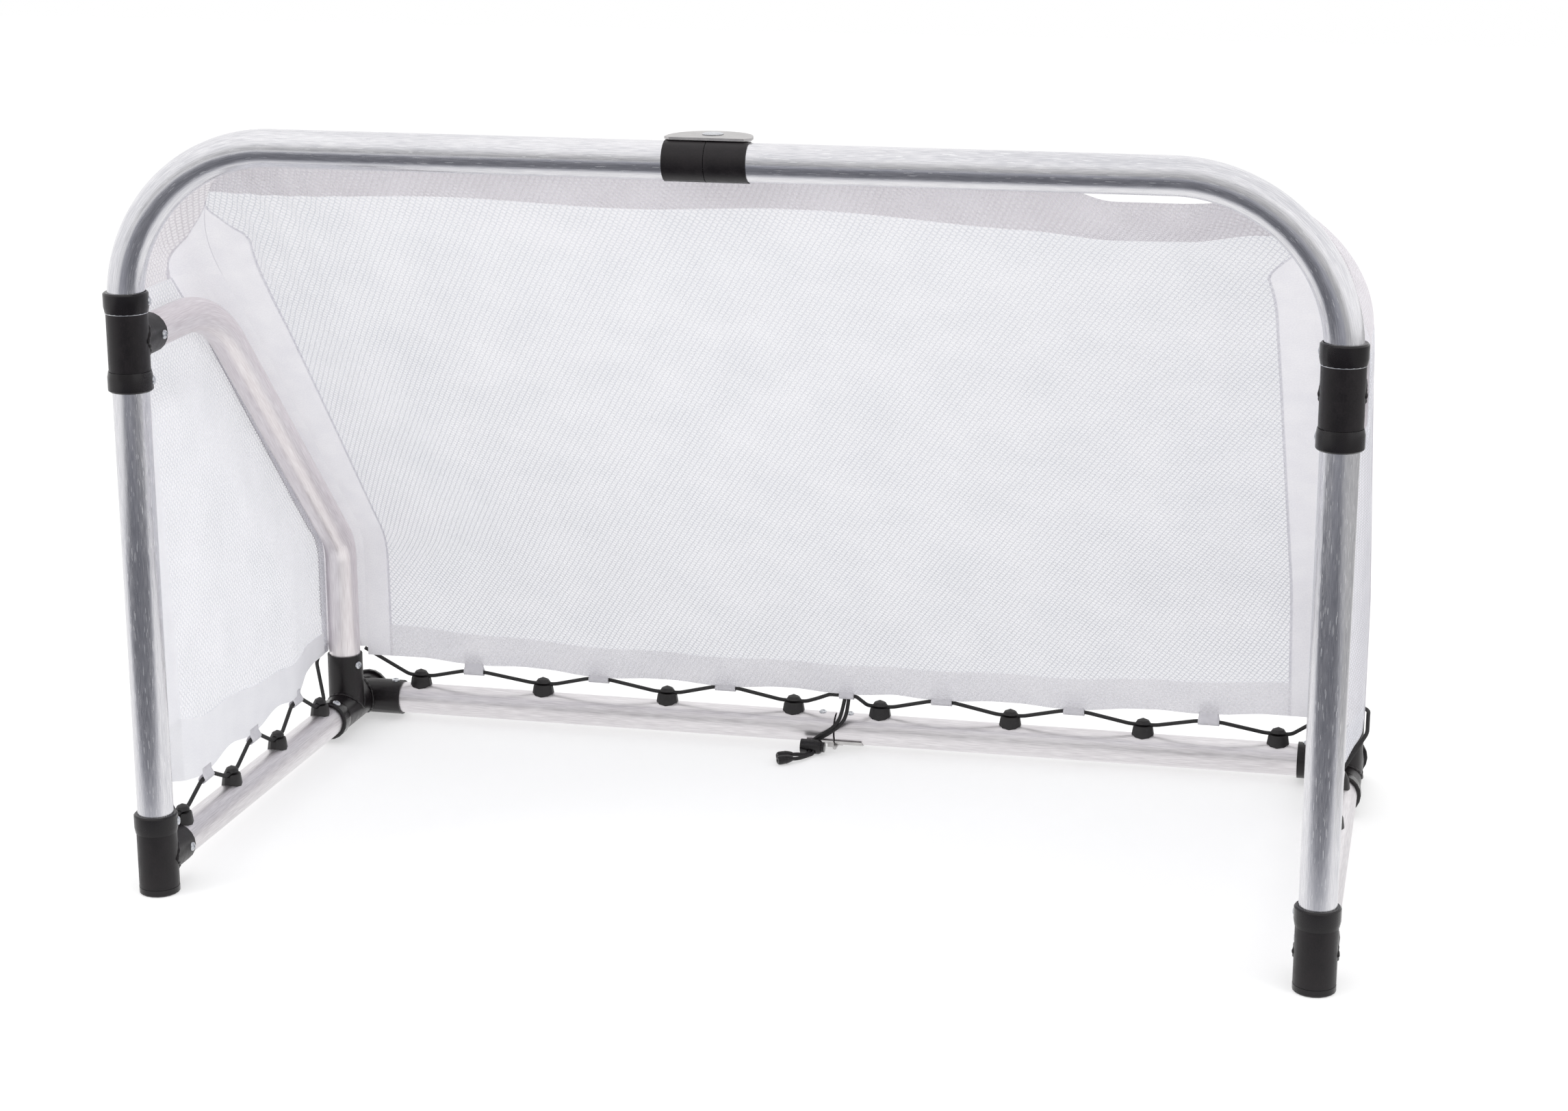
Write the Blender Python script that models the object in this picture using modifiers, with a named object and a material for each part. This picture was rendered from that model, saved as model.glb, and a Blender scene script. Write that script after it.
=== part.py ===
# Folding soccer goal: two rigid side frames, joined in front by a bow of two
# hinged tubes and behind by a bar of two hinged tubes. Metres, +Z up, +Y to the back.
# The goal stands on the plugs under its posts and on the caps behind its base tubes.
import bpy
import bmesh
from math import acos, asin, atan2, cos, hypot, pi, radians, sin, sqrt, tan
from mathutils import Matrix, Vector

# Driving dimensions
WIDTH = 1.220                 # between the two post axes
HEIGHT = 0.800                # floor to crossbar axis
TUBE_R = 0.019                # outer radius of every frame tube
TUBE_WALL = 0.0018
CORNER_R = 0.164              # bend of the bow's upper corners, on the axis
GAP = 0.0003                  # clearance between touching pieces
OVERRUN = 0.002               # a cutter's reach past the end of what it cuts

SLEEVE_WALL = 0.0022          # wall of the welded tees
SLEEVE_LEN = 0.060            # length of a front tee's turning sleeve
BRANCH_REACH = 0.050          # post axis to the end of a tee's branch
COLLAR_WALL = 0.0040
COLLAR_LEN = 0.021
COLLAR_LIP = 0.0016
PLUG_RIM = 0.0075             # height of the plug's rim under the lower tee
PLUG_OVERHANG = 0.0027
PLUG_CHAMFER = 0.0012
SPIGOT_LEN = 0.022
SOCKET_WEB = 0.0005           # metal between a sleeve's outside and its socket
UPPER_TEE_DROP = 0.0375       # start of the upper corner to the middle of the upper tee

UPRIGHT_S = 0.5681            # along the base tube, to the bent tube's upright run
UPPER_BEND_R = 0.180
LOWER_BEND_R = 0.050
BEND_CORNER_Z = 0.237         # where the sloping and upright runs would meet
REAR_TEE_LEAD = 0.0448        # front end of the rear tee to the upright's axis
REAR_TEE_LEN = 0.069
REAR_SOCKET_Z = 0.096         # top of the upright's socket
BAR_TEE_LEN = 0.054
BAR_TEE_LEAD = 0.0303         # front end of the rear bar's tee to the bar's axis
BAR_BRANCH_REACH = 0.055
CAP_OVERHANG = 0.006
CAP_FLANGE = 0.005
CAP_EDGE = 0.0006
CAP_DOME = 0.009

HINGE_WALL = 0.0010           # wall of the crossbar hinge's sleeves
HINGE_SLEEVE_LEN = 0.0415
PIN_CLEAR = 0.003             # tube surface to hinge pin axis, both hinges
SEAM = 0.0006                 # gap between the two halves of the bow
PLATE_HALF = 0.043
PLATE_FRONT = 0.005
PLATE_BACK = 0.048
PLATE_ROUND = 0.006
PLATE_THICK = 0.0025
PLATE_LIFT = 0.0004           # the plate turns over the right sleeve
LUG_THICK = 0.0027
UPPER_LUG_R = 0.009
LOWER_LUG_R = 0.007
PIN_R = 0.0025
RIVET_HEAD_R = 0.0105
RIVET_HEAD_H = 0.0016
RIVET_TAIL_R = 0.0043
RIVET_TAIL_H = 0.0018

BAR_GAP = 0.002               # gap between the two halves of the rear bar
LEAF_THICK = 0.0015
LEAF_LEN = 0.034
LEAF_DROP = 0.012             # bar axis to the leaf's upper edges
KNUCKLE_R = 0.0026
KNUCKLE_LEN = 0.008
KNUCKLE_ROOT = (0.0076, 0.0080)   # width and height of a knuckle's root
KNUCKLE_RISE = 0.0005         # pin axis to the underside of a root
REAR_PIN_R = 0.0015

HOOK_HALF = (0.0140, 0.0115, 0.0220)
HOOK_SINK = 0.002             # hook's widest level below the top of its tube
HOOK_BORE_R = 0.0032
HOOK_CORD_Z = 0.0115          # cord axis above the top of its tube
HOOK_SLIT = 0.0024
HOOK_SLIT_RISE = 0.0003       # cord axis to the middle of the slit
HOOKS_IN_ROW = 4
REAR_HOOK_FIRST = 0.0535      # middle of the goal to the first hook on the rear bar
REAR_HOOK_LEAD = 0.0789       # last hook on the rear bar to the post's axis
SIDE_HOOK_FIRST = 0.0667      # post axis to the first hook on a base tube
SIDE_HOOK_LEAD = 0.0910       # last hook on a base tube to the upright's axis

CORD_R = 0.0023
CORD_CLEAR = 0.0016           # net to the cord round the upright
TAB_HALF = 0.013
CENTRE_TAB_HALF = 0.009
CENTRE_TAB_X = 0.017
TAB_R = 0.0042
TAB_BORE_R = 0.0030
STRAP_THICK = 0.0030
TAB_STRAP_SHARE = 1.7         # strap's width, in halves of its tab
STRAP_LAP = 0.006             # strap's overlap on the net's hem
REAR_TAB_RISE = 0.030         # rear bar's top to the cord in the tabs
SIDE_TAB_Z = 0.083

NET_THICK = 0.0020
NET_SEAT = 0.0011             # clearance of the net round a tube
NET_TOP_DROP = 0.003          # crossbar axis to the net's upper edge
NET_TOP_BAND = 0.043          # crossbar axis to the top hem's lower edge
NET_BOTTOM_LEAD = 0.0228      # rear bar axis to the net's lower edge, forwards
NET_BOTTOM_Z = 0.090
SIDE_NET_BOTTOM = 0.100
NET_FLANGE = 0.0218           # the side net's return, inwards from the tube's axis
NET_JOIN = 0.0009             # open line between back net and side net
NET_SAG = 2.4                 # power of the back net's saddle shape
NET_TEE_CLEAR = 0.0024
HINGE_BULGE = 0.0175          # net's way round the crossbar hinge
BULGE_FLAT = 0.030            # half of the bulge at its full depth
BULGE_EASE = 0.060
BULGE_SHARE = 0.12            # bulge's height, as a share of the net's
TEE_EASE_START = 0.045        # net leaves the upper tee from this far off its middle
TEE_EASE = 0.050
COLLAR_EASE = 0.020
SIDE_EASE_START = 0.190       # net comes out to the bent tube from this far before it
SIDE_EASE = 0.150
SIDE_MESH_SHARE = (0.10, 0.92)   # openings of the side net, as shares of its depth
STRAND = 0.0050               # half of a strand of the net
HEM = 0.035
SIDE_BAND = 0.040

LOCK_X = -0.0235              # middle of the cord hole
LOCK_Y_LEAD = 0.0308          # rear bar axis to the lock's axis, forwards
LOCK_R = 0.0090
LOCK_LEFT = 0.0140
LOCK_RIGHT = 0.0110
LOCK_END_WALL = 0.0027
LOCK_CHAMFER = 0.0030
BUTTON_R = 0.0062
BUTTON_OUT = 0.0040
BUTTON_TRAVEL = 0.0035
BUTTON_WALL = 0.0020
STRAND_SPACE = 0.0052         # between the two strands of the cord's tail
HOLE_TILT = radians(30)
HOLE_ROOM = 0.0005
BELL_R = 0.0055
BELL_LEN = 0.020
BELL_HEADING = Vector((-0.8, -0.6, 0))
BELLS = {-1: (-0.0200, -0.0230), 1: (-0.0160, -0.0380)}   # from the lock's middle

# Derived sizes
HALF = WIDTH / 2
BORE_R = TUBE_R + GAP
INNER_R = TUBE_R - TUBE_WALL
SPIGOT_R = INNER_R - 2 * GAP
SLEEVE_R = BORE_R + SLEEVE_WALL
COLLAR_R = BORE_R + COLLAR_WALL
PLUG_R = TUBE_R + PLUG_OVERHANG
CAP_R = TUBE_R + CAP_OVERHANG
HINGE_SLEEVE_R = BORE_R + HINGE_WALL
HINGE_OFFSET = TUBE_R + PIN_CLEAR
CORNER_Z = HEIGHT - CORNER_R
UPPER_TEE_Z = CORNER_Z - UPPER_TEE_DROP
LOWER_TEE_Z = PLUG_RIM + GAP + SLEEVE_LEN / 2
REAR_TEE_S = UPRIGHT_S - REAR_TEE_LEAD
REAR_COLLAR_S = REAR_TEE_S - GAP - COLLAR_LEN
BAR_TEE_S = REAR_TEE_S + REAR_TEE_LEN + GAP
REAR_BAR_S = BAR_TEE_S + BAR_TEE_LEAD
CAP_SEAT_S = BAR_TEE_S + BAR_TEE_LEN + GAP
TILT_S = CAP_SEAT_S + CAP_FLANGE - CAP_EDGE
TILT = asin(LOWER_TEE_Z / hypot(TILT_S, CAP_R)) - atan2(CAP_R, TILT_S)
CAP_BACK_Y = (CAP_SEAT_S + CAP_FLANGE + CAP_DOME) * cos(TILT)
POST_Y = (COLLAR_R - CAP_BACK_Y) / 2
UPRIGHT_Y = UPRIGHT_S * cos(TILT)
REAR_BAR_Y = REAR_BAR_S * cos(TILT)
REAR_HOOK_PITCH = (HALF - REAR_HOOK_LEAD - REAR_HOOK_FIRST) / (HOOKS_IN_ROW - 1)
SIDE_HOOK_PITCH = (UPRIGHT_S - SIDE_HOOK_LEAD - SIDE_HOOK_FIRST) / (HOOKS_IN_ROW - 1)
UPPER_BEND_Y = UPRIGHT_Y + BEND_CORNER_Z - UPPER_TEE_Z
BASE_DIR = Vector((0, cos(TILT), -sin(TILT)))
UP = Vector((0, 0, 1))
SIDES = 20
BORE_SIDES = 12
SMALL_SIDES = 12
CORD_SIDES = 8


def place(x, y, z):
    """World point from x, distance behind the post plane, and height."""
    return Vector((x, y + POST_Y, z))


def base_point(side, along):
    """Point on a base tube's axis, at a distance behind the post axis."""
    return place(side * HALF, 0, LOWER_TEE_Z) + BASE_DIR * along


REAR_BAR_Z = base_point(1, REAR_BAR_S).z
UPRIGHT_Z = base_point(1, UPRIGHT_S).z


# Scene, collections and materials
def clear_scene():
    for obj in list(bpy.data.objects):
        bpy.data.objects.remove(obj, do_unlink=True)


def new_collection(name):
    made = bpy.data.collections.new(name)
    bpy.context.scene.collection.children.link(made)
    return made


clear_scene()
parts = new_collection("folding_soccer_goal")
cutters = new_collection("cutters")
LABEL = {-1: "left", 1: "right"}


def new_material(name, colour, metallic, roughness):
    made = bpy.data.materials.new(name)
    made.use_nodes = True
    shader = made.node_tree.nodes["Principled BSDF"]
    shader.inputs["Base Color"].default_value = (*colour, 1.0)
    shader.inputs["Metallic"].default_value = metallic
    shader.inputs["Roughness"].default_value = roughness
    return made


aluminium = new_material("mill_aluminium", (0.78, 0.78, 0.80), 1.0, 0.28)
black_steel = new_material("black_coated_steel", (0.020, 0.020, 0.022), 0.0, 0.42)
black_plastic = new_material("black_plastic", (0.012, 0.012, 0.013), 0.0, 0.30)
zinc = new_material("zinc_plated_steel", (0.62, 0.66, 0.72), 1.0, 0.30)
grey_steel = new_material("hinge_plate_steel", (0.70, 0.69, 0.68), 1.0, 0.38)
net_white = new_material("white_knitted_net", (0.86, 0.86, 0.88), 0.0, 0.85)
cord_black = new_material("black_elastic_cord", (0.015, 0.015, 0.016), 0.0, 0.75)


# Shape helpers
def keep(obj, name, material):
    """Turn an object into a named part."""
    obj.name = name
    obj.data.name = name
    obj.data.materials.clear()
    obj.data.materials.append(material)
    for group in list(obj.users_collection):
        group.objects.unlink(obj)
    parts.objects.link(obj)
    if obj.type == "MESH":
        obj.data.shade_smooth()
        obj.data.set_sharp_from_angle(angle=radians(35))
    return obj


def from_bmesh(mesh_data, name):
    mesh = bpy.data.meshes.new(name)
    mesh_data.to_mesh(mesh)
    mesh_data.free()
    obj = bpy.data.objects.new(name, mesh)
    cutters.objects.link(obj)
    return obj


def as_cutter(obj):
    obj.hide_render = True
    obj.display_type = "WIRE"
    return obj


def combine(target, other, operation):
    change = target.modifiers.new(operation.lower(), "BOOLEAN")
    change.operation = operation
    change.object = as_cutter(other)
    change.solver = "EXACT"
    return target


def cut(target, *others):
    for other in others:
        combine(target, other, "DIFFERENCE")
    return target


def fuse(target, *others):
    for other in others:
        combine(target, other, "UNION")
    return target


def rod(start, end, radius, sides=SIDES, end_radius=None):
    """Cylinder, or cone frustum, between two points."""
    start = Vector(start)
    end = Vector(end)
    line = end - start
    turn = Vector((0, 0, 1)).rotation_difference(line).to_matrix().to_4x4()
    shape = bmesh.new()
    bmesh.ops.create_cone(
        shape, cap_ends=True, segments=sides, radius1=radius,
        radius2=radius if end_radius is None else end_radius, depth=line.length,
        matrix=Matrix.Translation((start + end) / 2) @ turn)
    return from_bmesh(shape, "rod")


def block(centre, size, turn=None):
    shape = bmesh.new()
    scale = Matrix.Diagonal((*size, 1))
    matrix = Matrix.Translation(centre) @ (turn or Matrix.Identity(4)) @ scale
    bmesh.ops.create_cube(shape, size=1, matrix=matrix)
    return from_bmesh(shape, "block")


def turned(profile, origin, direction, closed=True, sides=SIDES):
    """Profile of (radius, height) points turned about a line."""
    mesh = bpy.data.meshes.new("turned")
    points = [(radius, 0, height) for radius, height in profile]
    count = len(points)
    edges = [(i, (i + 1) % count) for i in range(count if closed else count - 1)]
    mesh.from_pydata(points, edges, [])
    obj = bpy.data.objects.new("turned", mesh)
    cutters.objects.link(obj)
    screw = obj.modifiers.new("turn", "SCREW")
    screw.axis = "Z"
    screw.steps = sides
    screw.render_steps = sides
    screw.use_merge_vertices = True
    screw.merge_threshold = 0.00005
    screw.use_smooth_shade = True
    turn = Vector((0, 0, 1)).rotation_difference(Vector(direction))
    obj.matrix_world = Matrix.Translation(origin) @ turn.to_matrix().to_4x4()
    return obj


def piped(points, radius, sides=SIDES):
    """Round bar along a chain of points, as a closed mesh."""
    curve = bpy.data.curves.new("pipe", "CURVE")
    curve.dimensions = "3D"
    curve.twist_mode = "MINIMUM"
    curve.bevel_depth = radius
    curve.bevel_resolution = (sides - 4) // 2
    curve.use_fill_caps = True
    spline = curve.splines.new("POLY")
    spline.points.add(len(points) - 1)
    for point, spot in zip(spline.points, points):
        point.co = (*spot, 1)
    return mesh_of(curve)


def mesh_of(curve):
    """Closed mesh of a curve, with its caps welded on."""
    holder = bpy.data.objects.new("curve", curve)
    cutters.objects.link(holder)
    bpy.context.view_layer.update()
    seen = holder.evaluated_get(bpy.context.evaluated_depsgraph_get())
    mesh = bpy.data.meshes.new_from_object(seen)
    bpy.data.objects.remove(holder, do_unlink=True)
    shape = bmesh.new()
    shape.from_mesh(mesh)
    bpy.data.meshes.remove(mesh)
    bmesh.ops.remove_doubles(shape, verts=shape.verts, dist=0.00002)
    bmesh.ops.recalc_face_normals(shape, faces=shape.faces)
    return from_bmesh(shape, "curve")


def hollow(points):
    """Frame tube with an open bore along a chain of points."""
    first = points[0] + (points[0] - points[1]).normalized() * OVERRUN
    last = points[-1] + (points[-1] - points[-2]).normalized() * OVERRUN
    tube = piped(points, TUBE_R)
    return cut(tube, piped([first, *points[1:-1], last], INNER_R, BORE_SIDES))


def arc(centre, radius, start, end, steps, across, up):
    """Points on an arc in the plane of two unit vectors, angles in degrees."""
    found = []
    for i in range(steps + 1):
        angle = radians(start + (end - start) * i / steps)
        found.append(centre + across * (radius * cos(angle)) + up * (radius * sin(angle)))
    return found


def applied(obj):
    """The object with its modifiers made part of its mesh."""
    bpy.context.view_layer.update()
    seen = obj.evaluated_get(bpy.context.evaluated_depsgraph_get())
    mesh = bpy.data.meshes.new_from_object(seen)
    mesh.transform(obj.matrix_world)
    for change in obj.modifiers:
        if change.type == "BOOLEAN" and change.object:
            helper = change.object
            change.object = None
            bpy.data.objects.remove(helper, do_unlink=True)
    bpy.data.objects.remove(obj, do_unlink=True)
    done = bpy.data.objects.new("applied", mesh)
    cutters.objects.link(done)
    return done


def frame_at(point, along):
    """Matrix with local X along a line and local Z up."""
    x = Vector(along).normalized()
    z = (UP - x * UP.dot(x)).normalized()
    y = z.cross(x)
    turn = Matrix((x, y, z)).transposed().to_4x4()
    return Matrix.Translation(point) @ turn


# Collars, plugs and caps, turned in plastic
def collar(name, origin, direction, bent_axis=None):
    """Ring on a straight tube, or bored along a tube whose bend starts inside it."""
    neck = COLLAR_R - COLLAR_LIP * 0.75
    outer = [
        (COLLAR_R - COLLAR_LIP, COLLAR_LEN), (COLLAR_R, COLLAR_LEN - COLLAR_LIP),
        (COLLAR_R, COLLAR_LEN * 0.30), (neck, 0.0)]
    if bent_axis:
        ring = turned([(0.0, COLLAR_LEN), *outer, (0.0, 0.0)], origin, direction, closed=False)
        cut(ring, piped(bent_axis, BORE_R))
    else:
        ring = turned([*outer, (BORE_R, 0.0), (BORE_R, COLLAR_LEN)], origin, direction)
    return keep(ring, name, black_plastic)


def foot_plug(side):
    top = PLUG_RIM + SPIGOT_LEN
    chamfer = PLUG_CHAMFER
    profile = [
        (0.0, top), (SPIGOT_R - chamfer, top), (SPIGOT_R, top - chamfer),
        (SPIGOT_R, PLUG_RIM), (PLUG_R, PLUG_RIM), (PLUG_R, chamfer),
        (PLUG_R - chamfer, 0.0), (0.0, 0.0)]
    plug = turned(profile, place(side * HALF, 0, 0), UP, closed=False)
    return keep(plug, "foot_plug_" + LABEL[side], black_plastic)


def end_cap(side):
    back = CAP_FLANGE + CAP_DOME
    profile = [
        (0.0, back), (CAP_R * 0.62, back - CAP_DOME * 0.18),
        (CAP_R * 0.93, CAP_FLANGE + CAP_DOME * 0.28),
        (CAP_R, CAP_FLANGE - CAP_EDGE), (CAP_R, CAP_EDGE), (CAP_R - CAP_EDGE, 0.0),
        (SPIGOT_R, 0.0), (SPIGOT_R, -SPIGOT_LEN), (0.0, -SPIGOT_LEN)]
    cap = turned(profile, base_point(side, CAP_SEAT_S), BASE_DIR, closed=False)
    return keep(cap, "end_cap_" + LABEL[side], black_plastic)


# Welded tees: a turning or clamped sleeve, and a socket for the next tube
SOCKET_FLOOR = SLEEVE_R + SOCKET_WEB     # sleeve axis to the end of a socket's bore
TUBE_SETBACK = SOCKET_FLOOR + GAP        # and to the end of the tube in it


def tee(name, start, end, foot, direction, reach):
    """Sleeve between two points, with a branch from a point on its axis."""
    body = rod(start, end, SLEEVE_R)
    fuse(body, rod(foot, foot + direction * reach, SLEEVE_R))
    beyond = (end - start).normalized() * OVERRUN
    cut(body, rod(start - beyond, end + beyond, BORE_R))
    mouth = foot + direction * (reach + OVERRUN)
    cut(body, rod(foot + direction * SOCKET_FLOOR, mouth, BORE_R))
    return keep(body, name, black_steel)


def front_tees(side):
    for name, height, along in (
            ("upper_tee_", UPPER_TEE_Z, Vector((0, 1, 0))),
            ("lower_tee_", LOWER_TEE_Z, BASE_DIR)):
        middle = place(side * HALF, 0, height)
        half = UP * (SLEEVE_LEN / 2)
        tee(name + LABEL[side], middle - half, middle + half, middle, along, BRANCH_REACH)


def rear_tees(side):
    """Tee clamped under the bent tube, and the turning tee of the rear bar."""
    start = base_point(side, REAR_TEE_S)
    end = base_point(side, REAR_TEE_S + REAR_TEE_LEN)
    foot = base_point(side, UPRIGHT_S)
    tee("rear_tee_" + LABEL[side], start, end, foot, UP, REAR_SOCKET_Z - UPRIGHT_Z)
    start = base_point(side, BAR_TEE_S)
    end = base_point(side, BAR_TEE_S + BAR_TEE_LEN)
    foot = base_point(side, REAR_BAR_S)
    tee("bar_tee_" + LABEL[side], start, end, foot, Vector((-side, 0, 0)), BAR_BRANCH_REACH)


# Frame tubes
BEND_C1 = (UPPER_BEND_Y - UPPER_BEND_R * tan(radians(22.5)), UPPER_TEE_Z - UPPER_BEND_R)
BEND_C2 = (UPRIGHT_Y - LOWER_BEND_R, BEND_CORNER_Z - LOWER_BEND_R * tan(radians(22.5)))


def bow_path(side):
    """Axis of one half of the bow: post, upper corner and half of the crossbar."""
    inward = Vector((-side, 0, 0))
    foot = place(side * HALF, 0, PLUG_RIM + GAP)
    centre = place(side * HALF, 0, HEIGHT - CORNER_R) + inward * CORNER_R
    return [foot, *arc(centre, CORNER_R, 180, 90, 8, inward, UP), place(side * SEAM / 2, 0, HEIGHT)]


def front_tube(side):
    return keep(hollow(bow_path(side)), "front_tube_" + LABEL[side], aluminium)


def base_tube(side):
    points = [base_point(side, TUBE_SETBACK), base_point(side, CAP_SEAT_S - GAP)]
    return keep(hollow(points), "base_tube_" + LABEL[side], aluminium)


def bent_tube(side):
    """Tube from the upper tee back and down to the rear tee."""
    back = Vector((0, 1, 0))
    x = side * HALF
    upper_centre = place(x, *BEND_C1)
    lower_centre = place(x, *BEND_C2)
    points = [
        place(x, TUBE_SETBACK, UPPER_TEE_Z),
        *arc(upper_centre, UPPER_BEND_R, 90, 45, 4, back, UP),
        *arc(lower_centre, LOWER_BEND_R, 45, 0, 3, back, UP),
        place(x, UPRIGHT_Y, UPRIGHT_Z + TUBE_SETBACK)]
    return keep(hollow(points), "bent_tube_" + LABEL[side], aluminium)


def rear_bar(side):
    outer = place(side * (HALF - TUBE_SETBACK), REAR_BAR_Y, REAR_BAR_Z)
    inner = place(side * BAR_GAP / 2, REAR_BAR_Y, REAR_BAR_Z)
    return keep(hollow([outer, inner]), "rear_bar_" + LABEL[side], aluminium)


# Crossbar hinge: two sleeves with welded lugs, a cover plate and its rivet
PLATE_Z = HEIGHT + HINGE_SLEEVE_R + PLATE_LIFT
UPPER_LUG_TOP = PLATE_Z - GAP
LOWER_LUG_TOP = HEIGHT - HINGE_SLEEVE_R + GAP + LUG_THICK
STUD_LUG_TOP = LOWER_LUG_TOP + GAP + LUG_THICK
LUG_ROOT = 0.006              # crossbar axis to where a lug's neck begins


def on_pin(z):
    return place(0, HINGE_OFFSET, z)


def lug(side, top, radius):
    """Flat ear round the pin, and its neck from the sleeve."""
    ear = rod(on_pin(top - LUG_THICK), on_pin(top), radius)
    depth = HINGE_OFFSET - LUG_ROOT
    middle = on_pin(top - LUG_THICK / 2) + Vector((side * radius / 2, -depth / 2, 0))
    return ear, block(middle, (radius, depth, LUG_THICK))


def hinge_sleeve(side):
    """Sleeve on the crossbar's end; the left one has a stud that joins the lower lugs."""
    inner = place(side * SEAM / 2, 0, HEIGHT)
    outer = place(side * HINGE_SLEEVE_LEN, 0, HEIGHT)
    body = rod(inner, outer, HINGE_SLEEVE_R)
    out = Vector((side * OVERRUN, 0, 0))
    bore = rod(inner - out, outer + out, BORE_R)
    if side < 0:
        fuse(body, *lug(side, LOWER_LUG_TOP, LOWER_LUG_R))
        cut(body, bore)
        fuse(body, rivet(STUD_LUG_TOP, LOWER_LUG_TOP - LUG_THICK, RIVET_TAIL_R, RIVET_TAIL_H))
    else:
        fuse(body, *lug(side, UPPER_LUG_TOP, UPPER_LUG_R))
        fuse(body, *lug(side, STUD_LUG_TOP, LOWER_LUG_R))
        cut(body, bore)
        below = on_pin(LOWER_LUG_TOP - OVERRUN)
        cut(body, rod(below, on_pin(PLATE_Z + OVERRUN), PIN_R + GAP, sides=SMALL_SIDES))
    return keep(body, "hinge_sleeve_" + LABEL[side], black_steel)


def hinge_plate():
    """D-shaped cover plate, straight in front and rounded behind."""
    curve = bpy.data.curves.new("plate", "CURVE")
    curve.dimensions = "2D"
    curve.fill_mode = "BOTH"
    curve.extrude = PLATE_THICK / 2
    start = PLATE_ROUND - PLATE_FRONT
    outline = [(-PLATE_HALF + PLATE_ROUND, -PLATE_FRONT), (PLATE_HALF - PLATE_ROUND, -PLATE_FRONT)]
    for i in range(17):
        angle = pi * i / 16
        outline.append((PLATE_HALF * cos(angle), start + (PLATE_BACK - start) * sin(angle) ** 0.8))
    spline = curve.splines.new("POLY")
    spline.points.add(len(outline) - 1)
    for point, (x, y) in zip(spline.points, outline):
        point.co = (x, y, 0, 1)
    spline.use_cyclic_u = True
    plate = mesh_of(curve)
    plate.location = place(0, 0, PLATE_Z + PLATE_THICK / 2)
    above = on_pin(PLATE_Z + PLATE_THICK + OVERRUN)
    cut(plate, rod(on_pin(PLATE_Z - OVERRUN), above, PIN_R + GAP, sides=SMALL_SIDES))
    return keep(plate, "hinge_plate", grey_steel)


def rivet(top, bottom, head_r, head_h):
    """Rivet through a stack between two heights, with its head above."""
    head = top + GAP
    tail = bottom - GAP
    profile = [
        (0.0, head + head_h), (head_r * 0.72, head + head_h * 0.92),
        (head_r, head + head_h * 0.35), (head_r, head), (PIN_R, head), (PIN_R, tail),
        (RIVET_TAIL_R, tail), (RIVET_TAIL_R, tail - RIVET_TAIL_H), (0.0, tail - RIVET_TAIL_H)]
    return turned(profile, on_pin(0), UP, closed=False, sides=16)


def hinge_rivet():
    pin = rivet(PLATE_Z + PLATE_THICK, UPPER_LUG_TOP - LUG_THICK, RIVET_HEAD_R, RIVET_HEAD_H)
    return keep(pin, "hinge_rivet", zinc)


# Rear bar hinge: saddle leaves under the bar, with three knuckles on a pin
REAR_PIN = place(0, REAR_BAR_Y, REAR_BAR_Z - HINGE_OFFSET)
KNUCKLES = {-1: (0, 2), 1: (1,)}


def knuckle_ends(index, margin=0.0):
    """Both ends of one of the three knuckles, on the pin's axis."""
    start = (index - 1.5) * (KNUCKLE_LEN + GAP)
    ahead = Vector((0, start - margin, 0))
    behind = Vector((0, start + KNUCKLE_LEN + margin, 0))
    return REAR_PIN + ahead, REAR_PIN + behind


def hinge_leaf(side):
    """Leaf of the rear hinge; the pin is fixed in the left one's outer knuckles."""
    leaf_r = BORE_R + LEAF_THICK
    near = place(side * BAR_GAP / 2, REAR_BAR_Y, REAR_BAR_Z)
    far = place(side * LEAF_LEN, REAR_BAR_Y, REAR_BAR_Z)
    body = rod(near, far, leaf_r)
    height = leaf_r + LEAF_DROP
    middle = (near + far) / 2 + UP * (height / 2 - LEAF_DROP)
    cut(body, block(middle, (LEAF_LEN * 1.4, leaf_r * 3, height)))
    wide, high = KNUCKLE_ROOT
    root = Vector((side * (BAR_GAP + wide) / 2, 0, KNUCKLE_RISE + high / 2))
    for index in KNUCKLES[side]:
        start, end = knuckle_ends(index)
        fuse(body, block((start + end) / 2 + root, (wide, KNUCKLE_LEN, high)))
        fuse(body, rod(start, end, KNUCKLE_R, sides=SMALL_SIDES))
    out = Vector((side * OVERRUN, 0, 0))
    cut(body, rod(near - out, far + out, BORE_R))
    for index in KNUCKLES[-side]:
        cut(body, rod(*knuckle_ends(index, GAP), KNUCKLE_R + 2 * GAP, sides=SMALL_SIDES))
    first = knuckle_ends(0, 2 * GAP)[0]
    last = knuckle_ends(2, 2 * GAP)[1]
    if side < 0:
        fuse(body, rod(first, last, REAR_PIN_R, sides=SMALL_SIDES))
    else:
        cut(body, rod(first, last, REAR_PIN_R + GAP, sides=SMALL_SIDES))
    return keep(body, "rear_hinge_leaf_" + LABEL[side], grey_steel)


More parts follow.
